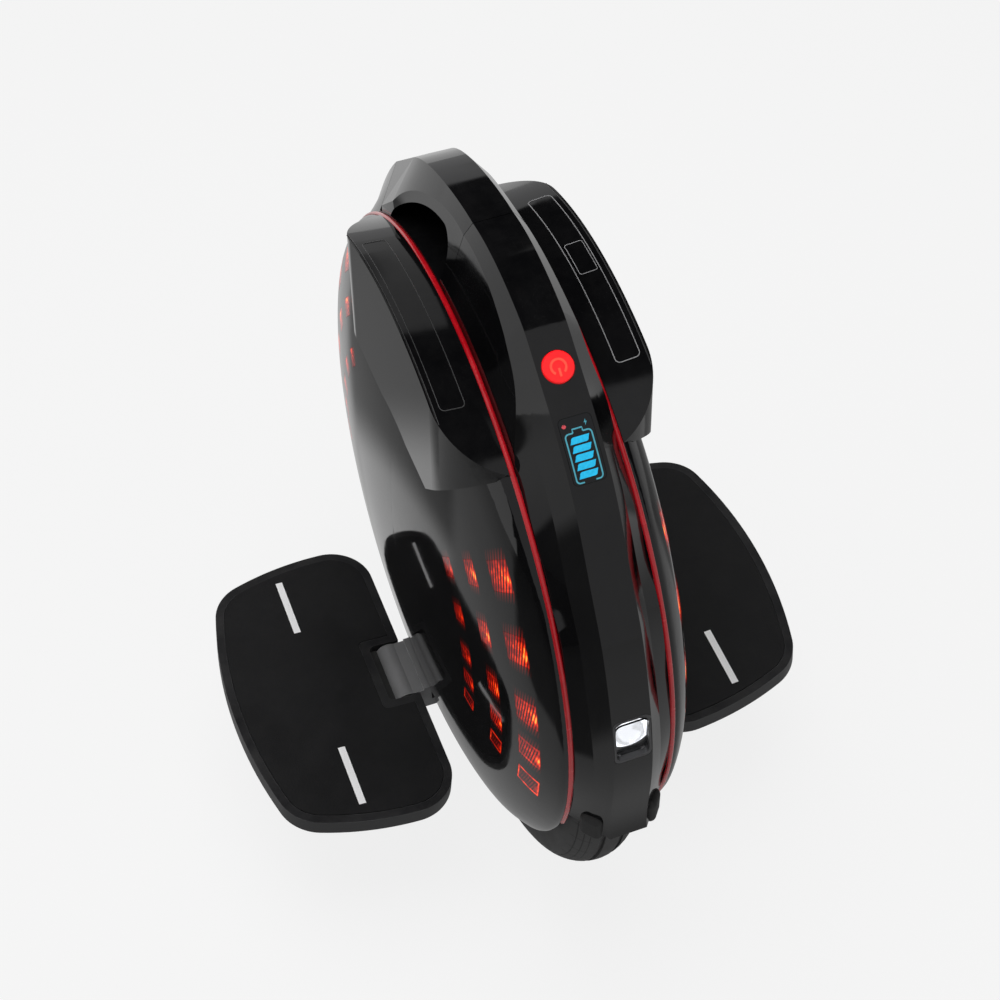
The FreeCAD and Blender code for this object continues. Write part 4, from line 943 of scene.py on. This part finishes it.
# the same plan and one a little inside it, as pairs of points closer together
def pairedPlans(look):
    low, high, inset = Vector(look["low"]), Vector(look["high"]), Vector((look["inset"], look["inset"]))
    outer = roundedPlan(low, high, look["corner"], beadLook["cornerSteps"])
    inner = roundedPlan(low + inset, high - inset, look["corner"] - look["inset"], beadLook["cornerSteps"])
    pairs = []
    for index in range(len(outer)):
        count = max(1, int((outer[index] - outer[index - 1]).length / beadLook["step"]))
        for share in range(count):
            point = outer[index - 1].lerp(outer[index], share / count)
            pairs.append((point, inner[index - 1].lerp(inner[index], share / count)))
    return pairs


# pale beads round the pad panels and the charge door: a painted highlight along their edges
panelHighlightBead = {
    "low": (0.0447, -0.0748),
    "high": (0.0593, 0.0648),
    "corner": 0.0028,
    "radius": 0.00032,
    "sunk": 0.00008,
    "inset": 0.0005,
}
doorHighlightBead = {
    "low": (0.047, -0.01435),
    "high": (0.05785, 0.01135),
    "corner": 0.0014,
    "radius": 0.00028,
    "sunk": 0.00012,
    "inset": 0.0006,
}


def layOutline(name, look, side, surface, body, slotName):
    points = []
    for point, inside in pairedPlans(look):
        start = Vector((side * inside.x, inside.y, beadLook["above"]))
        hit = surface.ray_cast(start, Vector((0, 0, -1)))[0]
        points.append(Vector((side * point.x, point.y, hit.z - look["sunk"])))
    layBead(name, points, True, look, beadLook["sides"], finishes[slotName], body)


# painted highlight, fainter on the left pad than on the right
layOutline("panelOutline_left", panelHighlightBead, -1, surfaceOf("pad_panel_left"), "frame", "line_faint")
layOutline(
    "panelOutline_right", panelHighlightBead, 1, surfaceOf("pad_panel_right", "charge_door"), "frame", "line_grey"
)
layOutline("doorOutline", doorHighlightBead, 1, surfaceOf("charge_door"), "port_door", "line_grey")

# seam along the outer top crease of each pad: a dark line of painted shade with a pale line of painted
# highlight beside it
seamLook = {
    "dark": 0.0634,
    "pale": 0.0628,
    "angles": (-62, 70),
    "facing": 0.6,
    "radius": 0.00032,
    "sides": 8,
    "sunk": 0.0001,
}


def layPadSeam(name, side, place, material):
    surface = surfaceOf("leg_pad_left" if side < 0 else "leg_pad_right")
    points = []
    for degrees in range(*seamLook["angles"]):
        outward = outwardAt(math.radians(degrees))
        start = shellCentre + outward * rayReach + Vector((side * place, 0, 0))
        hit, normal = surface.ray_cast(start, -outward)[:2]
        if hit and normal.dot(outward) > seamLook["facing"]:
            points.append(hit - outward * seamLook["sunk"])
    layBead(name, points, False, seamLook, seamLook["sides"], material, "frame")
    print(name, "follows", len(points), "points")


for side, word in ((-1, "left"), (1, "right")):
    layPadSeam("padSeamShade_" + word, side, seamLook["dark"], finishes["line_dark"])
    layPadSeam("padSeamHighlight_" + word, side, seamLook["pale"], finishes["line_faint"])
print("outlines and seams laid")


# closed shape as a mesh, with its faces turned outwards
def meshFrom(name, shape):
    bmesh.ops.recalc_face_normals(shape, faces=shape.faces[:])
    mesh = bpy.data.meshes.new(name)
    shape.to_mesh(mesh)
    shape.free()
    return mesh


# thin raised shapes from flat outlines, placed by a function of across, along and height
def slabMesh(name, outlines, place, low, high):
    shape = bmesh.new()
    for outline in outlines:
        bottom = [shape.verts.new(place(x, y, low)) for x, y in outline]
        top = [shape.verts.new(place(x, y, high)) for x, y in outline]
        shape.faces.new(top)
        shape.faces.new(bottom[::-1])
        for index in range(len(outline)):
            shape.faces.new((bottom[index - 1], bottom[index], top[index], top[index - 1]))
    bmesh.ops.triangulate(shape, faces=shape.faces[:])
    return meshFrom(name, shape)


# raised strokes of even width along flat paths, placed in the same way
def strokeMesh(name, paths, width, place, low, high):
    shape = bmesh.new()
    for path in paths:
        rings = []
        for index, point in enumerate(path):
            along = (path[min(index + 1, len(path) - 1)] - path[max(index - 1, 0)]).normalized()
            offset = Vector((-along.y, along.x)) * width / 2
            corners = (
                (point + offset, low), (point - offset, low), (point - offset, high), (point + offset, high)
            )
            rings.append([shape.verts.new(place(spot.x, spot.y, height)) for spot, height in corners])
        for before, after in zip(rings, rings[1:]):
            for corner in range(4):
                shape.faces.new((before[corner - 1], before[corner], after[corner], after[corner - 1]))
        shape.faces.new(rings[0][::-1])
        shape.faces.new(rings[-1])
    return meshFrom(name, shape)


def arcPoints(centre, radius, start, end, count):
    turns = [math.radians(start + (end - start) * step / count) for step in range(count + 1)]
    return [Vector(centre) + Vector((math.cos(turn), math.sin(turn))) * radius for turn in turns]


def flatPlace(x, y, height):
    return Vector((x, y, height))


# battery gauge: an outline with a nub, five leaning bars, and two small marks
gaugeLook = {
    "angle": 33.6,
    "halfWidth": 0.0075,
    "top": -0.0095,
    "bottom": 0.0171,
    "corner": 0.002,
    "hook": 0.0022,
    "nub": (0.0028, -0.0115),
    "nubFillet": 0.0003,
    "stroke": 0.0008,
    "arcSteps": 5,
    "sideSteps": 14,
    "bars": 5,
    "pitch": 0.00468,
    "firstBar": -0.0073,
    "bar": (-0.0058, 0.0058, 0.0036),
    "barRound": 0.0016,
    "lean": 0.0009,
    "sunk": -0.00005,
    "height": 0.00014,
    "bolt": (
        (0.0058, -0.0152),
        (0.0046, -0.0134),
        (0.0054, -0.0134),
        (0.005, -0.0118),
        (0.0064, -0.0139),
        (0.0056, -0.0139),
    ),
    "plug": (
        (-0.0079, -0.0143),
        (-0.0073, -0.0143),
        (-0.0073, -0.0149),
        (-0.0069, -0.0149),
        (-0.0069, -0.0143),
        (-0.0065, -0.0143),
        (-0.0065, -0.0149),
        (-0.0061, -0.0149),
        (-0.0061, -0.0143),
        (-0.0055, -0.0143),
        (-0.0055, -0.0136),
        (-0.0062, -0.0128),
        (-0.0072, -0.0128),
        (-0.0079, -0.0136),
    ),
}
windowSurface = surfaceOf("display_window")
gaugeAngle = math.radians(gaugeLook["angle"])
gaugeOutward = outwardAt(gaugeAngle)
gaugeMiddle = windowSurface.ray_cast(shellCentre + gaugeOutward * rayReach, -gaugeOutward)[0]
gaugeRadius = (gaugeMiddle - shellCentre).length


def onWindow(x, along, height):
    outward = outwardAt(gaugeAngle + along / gaugeRadius)
    hit = windowSurface.ray_cast(shellCentre + Vector((x, 0, 0)) + outward * rayReach, -outward)[0]
    return hit + outward * height


def gaugePath():
    wide, corner = gaugeLook["halfWidth"], gaugeLook["corner"]
    top, bottom = gaugeLook["top"], gaugeLook["bottom"]
    nubWide, nubTop = gaugeLook["nub"]
    fillet, arcSteps, sideSteps = gaugeLook["nubFillet"], gaugeLook["arcSteps"], gaugeLook["sideSteps"]
    straight = bottom - top - 2 * corner
    right = [Vector((nubWide, nubTop)), Vector((nubWide, top - fillet)), Vector((nubWide + fillet, top))]
    right += arcPoints((wide - corner, top + corner), corner, -90, 0, arcSteps)
    right += [Vector((wide, top + corner + straight * step / sideSteps)) for step in range(1, sideSteps)]
    right += arcPoints((wide - corner, bottom - corner), corner, 0, 90, arcSteps)
    right.append(Vector((wide - corner - gaugeLook["hook"], bottom)))
    left = [Vector((-point.x, point.y)) for point in right]
    return left[::-1] + right


def makeBarTree():
    tree, source, result = newTree(
        "leaningBars",
        {"Count": "NodeSocketInt", "Pitch": "NodeSocketVector", "Material": "NodeSocketMaterial"},
    )
    row = addNode(
        tree, "GeometryNodeMeshLine", {"Count": source.outputs["Count"], "Offset": source.outputs["Pitch"]}
    )
    copies = addNode(
        tree,
        "GeometryNodeInstanceOnPoints",
        {"Points": row.outputs[0], "Instance": source.outputs["Geometry"]},
    )
    endTree(tree, copies.outputs[0], source, result)
    return tree


def gaugeBarOutline():
    low, high, tall = gaugeLook["bar"]
    start, lean = gaugeLook["firstBar"], gaugeLook["lean"]
    curve, arcSteps = gaugeLook["barRound"], gaugeLook["arcSteps"]
    topLeft = arcPoints((low + lean + curve, start + curve), curve, 180, 270, arcSteps)
    bottomRight = arcPoints((high - lean - curve, start + tall - curve), curve, 0, 90, arcSteps)
    return topLeft + [Vector((high, start))] + bottomRight + [Vector((low, start + tall))]


def makeMark(name, outline, material):
    mesh = slabMesh(name, [outline], onWindow, gaugeLook["sunk"], gaugeLook["height"])
    newPiece(name, mesh, "frame", material)


def makeGauge():
    low, high = gaugeLook["sunk"], gaugeLook["height"]
    outline = strokeMesh("gaugeOutline", [gaugePath()], gaugeLook["stroke"], onWindow, low, high)
    newPiece("gaugeOutline", outline, "frame", gaugeTeal)
    leaf = slabMesh("gaugeLeaf", [gaugeBarOutline()], flatPlace, low, high)
    values = {"Count": gaugeLook["bars"], "Pitch": (0, gaugeLook["pitch"], 0), "Material": gaugeBlue}
    bars = grownMesh("gaugeBars", leaf, makeBarTree(), values)
    for vertex in bars.vertices:
        vertex.co = onWindow(*vertex.co)
    newPiece("gaugeBars", bars, "frame")
    makeMark("gaugeBolt", gaugeLook["bolt"], gaugeTeal)
    makeMark("gaugePlug", gaugeLook["plug"], gaugeRed)


makeGauge()

# power symbol on the button: an open ring and a bar
powerLook = {
    "outward": (0, -0.5869, 0.80966),
    "faceDepth": 0.0002,
    "radius": 0.0042,
    "stroke": 0.0013,
    "gap": 38,
    "steps": 40,
    "bar": (0.0008, 0.0054),
    "sunk": -0.0002,
    "height": 0.00025,
}


def makePowerSymbol():
    outward = Vector(powerLook["outward"]).normalized()
    along = outward.cross(Vector((1, 0, 0))).normalized() * -1
    spots = [vertex.co for vertex in nodes["power_button"].data.vertices]
    reach = max(spot.dot(outward) for spot in spots)
    face = [spot for spot in spots if spot.dot(outward) > reach - powerLook["faceDepth"]]
    middle = sum(face, Vector()) / len(face)
    middle += outward * (reach - middle.dot(outward))
    middle.x = 0

    def onButton(x, y, height):
        return middle + Vector((x, 0, 0)) + along * y + outward * height

    gap, low, high = powerLook["gap"], powerLook["sunk"], powerLook["height"]
    ring = arcPoints((0, 0), powerLook["radius"], 90 + gap, 450 - gap, powerLook["steps"])
    bar = [Vector((0, end)) for end in powerLook["bar"]]
    mesh = strokeMesh("powerSymbol", [ring, bar], powerLook["stroke"], onButton, low, high)
    newPiece("powerSymbol", mesh, "button", finishes["red_mark"])


makePowerSymbol()
print("gauge and power symbol made")

# rubber lip in each pedal notch, round the hinge barrel and clear of it as the pedal folds; its dark rubber
# closes the gap and stands in for the shade seen there
lipLook = {
    "hinge": (0.078, 0.115),
    "tilt": 5.0,
    "inner": 0.0099,
    "wall": 0.01415,
    "low": -0.0052,
    "high": 0.005,
    "halfLength": 0.0229,
    "steps": 10,
}


def makeHingeLip(name, side, body):
    tilt = math.radians(lipLook["tilt"])
    start = math.degrees(math.asin(lipLook["low"] / lipLook["inner"]))
    end = math.degrees(math.asin(lipLook["high"] / lipLook["inner"]))
    outline = arcPoints((0, 0), lipLook["inner"], start, end, lipLook["steps"])
    outline += [Vector((lipLook["wall"], lipLook["high"])), Vector((lipLook["wall"], lipLook["low"]))]

    def onPedal(out, up, along):
        x = lipLook["hinge"][0] + out * math.cos(tilt) - up * math.sin(tilt)
        return Vector((side * x, along, lipLook["hinge"][1] + out * math.sin(tilt) + up * math.cos(tilt)))

    mesh = slabMesh(name, [outline], onPedal, -lipLook["halfLength"], lipLook["halfLength"])
    newPiece(name, mesh, body, finishes["bumper_rubber"])


makeHingeLip("hingeLip_left", -1, "left_pedal")
makeHingeLip("hingeLip_right", 1, "right_pedal")

# thin gasket in the seam between the front spine cover and the handle
gasketLook = {
    "front": -0.00022,
    "back": 0.0001,
    "inset": 0.0006,
    "search": 0.0003,
    "facing": -0.99,
    "merge": 0.000002,
}


def makeSeamGasket():
    shape = bmesh.new()
    shape.from_mesh(nodes["handle"].data)
    bmesh.ops.remove_doubles(shape, verts=shape.verts[:], dist=gasketLook["merge"])
    shape.normal_update()
    others = []
    for face in shape.faces:
        apart = abs(face.calc_center_median().y) > gasketLook["search"]
        if face.normal.y > gasketLook["facing"] or apart:
            others.append(face)
    bmesh.ops.delete(shape, geom=others, context="FACES")
    low = min(vert.co.z for vert in shape.verts)
    high = max(vert.co.z for vert in shape.verts)
    wide = max(vert.co.x for vert in shape.verts)
    for vert in shape.verts:
        vert.co.x *= 1 - gasketLook["inset"] / wide
        vert.co.z += (low + high - 2 * vert.co.z) * gasketLook["inset"] / (high - low)
        vert.co.y = gasketLook["back"]
    grown = bmesh.ops.extrude_face_region(shape, geom=shape.faces[:])
    for item in grown["geom"]:
        if isinstance(item, bmesh.types.BMVert):
            item.co.y = gasketLook["front"]
    newPiece("seamGasket", meshFrom("seamGasket", shape), "frame", finishes["bumper_rubber"])


makeSeamGasket()
print("hinge lips and gasket made")


# camera at the photograph's viewpoint
cameraSetup = {
    "place": (-0.2759, -0.7777, 1.2581),
    "right": (0.9366, -0.35, -0.0135),
    "up": (0.2764, 0.7149, 0.6423),
    "lens": 71.65,
    "sensor": 36.0,
    "clip": 50,
}


def makeCamera():
    data = bpy.data.cameras.new("photoCamera")
    data.lens = cameraSetup["lens"]
    data.sensor_width = cameraSetup["sensor"]
    data.clip_end = cameraSetup["clip"]
    camera = bpy.data.objects.new("photoCamera", data)
    bpy.context.scene.collection.objects.link(camera)
    right = Vector(cameraSetup["right"]).normalized()
    back = right.cross(Vector(cameraSetup["up"])).normalized()
    up = back.cross(right)
    turn = Matrix((right, up, back)).transposed().to_4x4()
    camera.matrix_world = Matrix.Translation(cameraSetup["place"]) @ turn
    bpy.context.scene.camera = camera


makeCamera()


# pale studio: floor with painted light and shade seen in reflections, grey walls, dark ceiling behind, a few
# pale and dark fields, and a soft panel overhead
stageLook = {
    "pale": (0.93, 0.93, 0.93),
    "grey": (0.47, 0.47, 0.475),
    "ceiling": (0.008, 0.008, 0.009),
    "floorSize": 8.0,
    "floorShare": 0.9,
    "floorNearShade": (0.3, 0.8, 0.36, 0.5),
    "floorBack": (0.5, 1.2, 0.0, 0.5),
    "ceilingTurn": (0.5, 0.866, 0.0),
    "ceilingEdge": (-0.09, -0.06),
    "ceilingStart": (0.195, 0.22),
    "wallSoft": 0.8,
    "floorSoft": 3.0,
}

# fields of the walls: turn from the back to the right and rise above level, in degrees, a lean and a level
wallFields = [
    {"turn": (-100.0, 5.0), "rise": (-8.0, 12.0), "lean": 0.0, "level": 0.95},
    {"turn": (13.4, 42.0), "rise": (2.0, 52.0), "lean": 0.22, "level": 0.4},
    {"turn": (-160.0, -97.0), "rise": (-26.0, 13.0), "lean": 0.0, "level": 0.03},
]

# fields of painted light and shade on the floor, seen in reflections only: turn as above, with the reach from
# the middle, a soft edge of that reach and a level
floorLightAndShade = [
    {"turn": (-160.0, -97.0), "reach": (0.5, 6.0), "soft": 0.03, "level": 0.03},
    {"turn": (45.0, 88.0), "reach": (0.35, 0.9), "soft": 0.03, "level": 0.12},
    {"turn": (-62.0, -14.5), "reach": (0.1, 0.37), "soft": 0.05, "level": 0.66},
    {"turn": (-62.0, -14.5), "reach": (0.37, 0.9), "soft": 0.05, "level": 0.17},
    {"turn": (-14.5, -2.0), "reach": (0.1, 0.7), "soft": 0.05, "level": 0.62},
]
panels = [
    {
        "name": "topPanel",
        "place": (-0.2, 0.1, 2.3),
        "aim": (0, 0, 0.3),
        "size": (1.6, 1.6),
        "power": 36.0,
        "mirrored": False,
    },
]


def fieldMask(tree, value, limits, soft):
    low, high = limits
    start = maskNode(tree, value, (low - soft, low + soft), True)
    return mathNode(tree, "MULTIPLY", start, rangeNode(tree, value, high - soft, high + soft, 1.0, 0.0, True))


def makeFloor():
    half = stageLook["floorSize"] / 2
    mesh = bpy.data.meshes.new("studioFloor")
    corners = [(-half, -half, 0), (half, -half, 0), (half, half, 0), (-half, half, 0)]
    mesh.from_pydata(corners, [], [(0, 1, 2, 3)])
    floor = bpy.data.objects.new("studioFloor", mesh)
    bpy.context.scene.collection.objects.link(floor)
    material = bpy.data.materials.new("studioFloor")
    material.use_nodes = True
    tree = material.node_tree
    tree.nodes.clear()
    path = addNode(tree, "ShaderNodeLightPath")
    seen = mathNode(tree, "MAXIMUM", path.outputs["Is Camera Ray"], path.outputs["Is Glossy Ray"])
    seen = mathNode(tree, "MAXIMUM", seen, path.outputs["Is Transmission Ray"])
    matte = addNode(tree, "ShaderNodeBsdfDiffuse", {"Color": (*stageLook["pale"], 1)})
    point = objectPoint(tree)
    parts = addNode(tree, "ShaderNodeSeparateXYZ", {0: point})
    reach = addNode(tree, "ShaderNodeVectorMath", {0: point}, operation="LENGTH").outputs["Value"]
    turn = mathNode(tree, "DEGREES", mathNode(tree, "ARCTAN2", parts.outputs["X"], parts.outputs["Y"]))
    # painted shade on the floor near the middle and painted light towards the back, seen in reflections only
    nearShade = rangeNode(tree, reach, *stageLook["floorNearShade"])
    level = mathNode(tree, "ADD", nearShade, rangeNode(tree, parts.outputs["Y"], *stageLook["floorBack"]))
    for field in floorLightAndShade:
        across = fieldMask(tree, turn, field["turn"], stageLook["floorSoft"])
        inside = mathNode(tree, "MULTIPLY", across, fieldMask(tree, reach, field["reach"], field["soft"]))
        level = rangeNode(tree, inside, 0.0, 1.0, level, field["level"])
    strength = mathNode(tree, "MAXIMUM", level, path.outputs["Is Camera Ray"])
    plain = addNode(tree, "ShaderNodeEmission", {"Color": (*stageLook["pale"], 1), "Strength": strength})
    share = mathNode(tree, "MULTIPLY", seen, stageLook["floorShare"])
    blend = addNode(tree, "ShaderNodeMixShader", {0: share, 1: matte.outputs[0], 2: plain.outputs[0]})
    output = addNode(tree, "ShaderNodeOutputMaterial")
    tree.links.new(blend.outputs[0], output.inputs["Surface"])
    mesh.materials.append(material)


def makeWorld():
    world = bpy.data.worlds.new("studio")
    bpy.context.scene.world = world
    world.use_nodes = True
    tree = world.node_tree
    ground = tree.nodes["Background"]
    direction = addNode(tree, "ShaderNodeTexCoord").outputs["Generated"]
    parts = addNode(tree, "ShaderNodeSeparateXYZ", {0: direction})
    turned = {0: direction, 1: stageLook["ceilingTurn"]}
    facing = addNode(tree, "ShaderNodeVectorMath", turned, operation="DOT_PRODUCT").outputs["Value"]
    behind = maskNode(tree, facing, stageLook["ceilingEdge"], True)
    above = maskNode(tree, parts.outputs["Z"], stageLook["ceilingStart"], True)
    colour = mixColour(
        tree, mathNode(tree, "MULTIPLY", above, behind), stageLook["grey"], stageLook["ceiling"]
    )
    turn = mathNode(tree, "DEGREES", mathNode(tree, "ARCTAN2", parts.outputs["X"], parts.outputs["Y"]))
    rise = mathNode(tree, "DEGREES", mathNode(tree, "ARCSINE", parts.outputs["Z"]))
    for field in wallFields:
        leaned = mathNode(tree, "SUBTRACT", turn, mathNode(tree, "MULTIPLY", rise, field["lean"]))
        across = fieldMask(tree, leaned, field["turn"], stageLook["wallSoft"])
        upright = fieldMask(tree, rise, field["rise"], stageLook["wallSoft"])
        inside = mathNode(tree, "MULTIPLY", across, upright)
        colour = mixColour(tree, inside, colour, (field["level"],) * 3)
    path = addNode(tree, "ShaderNodeLightPath")
    seen = mixColour(tree, path.outputs["Is Camera Ray"], colour, stageLook["pale"])
    tree.links.new(seen, ground.inputs["Color"])


def makePanel(panel):
    data = bpy.data.lights.new(panel["name"], "AREA")
    data.shape = "RECTANGLE"
    data.size, data.size_y = panel["size"]
    data.energy = panel["power"]
    lamp = bpy.data.objects.new(panel["name"], data)
    bpy.context.scene.collection.objects.link(lamp)
    lamp.visible_glossy = panel["mirrored"]
    lamp.location = panel["place"]
    lamp.rotation_euler = (Vector(panel["aim"]) - lamp.location).to_track_quat("-Z", "Y").to_euler()


makeFloor()
makeWorld()
for panel in panels:
    makePanel(panel)
bpy.context.scene.view_settings.view_transform = "Standard"
print("stage and camera ready")
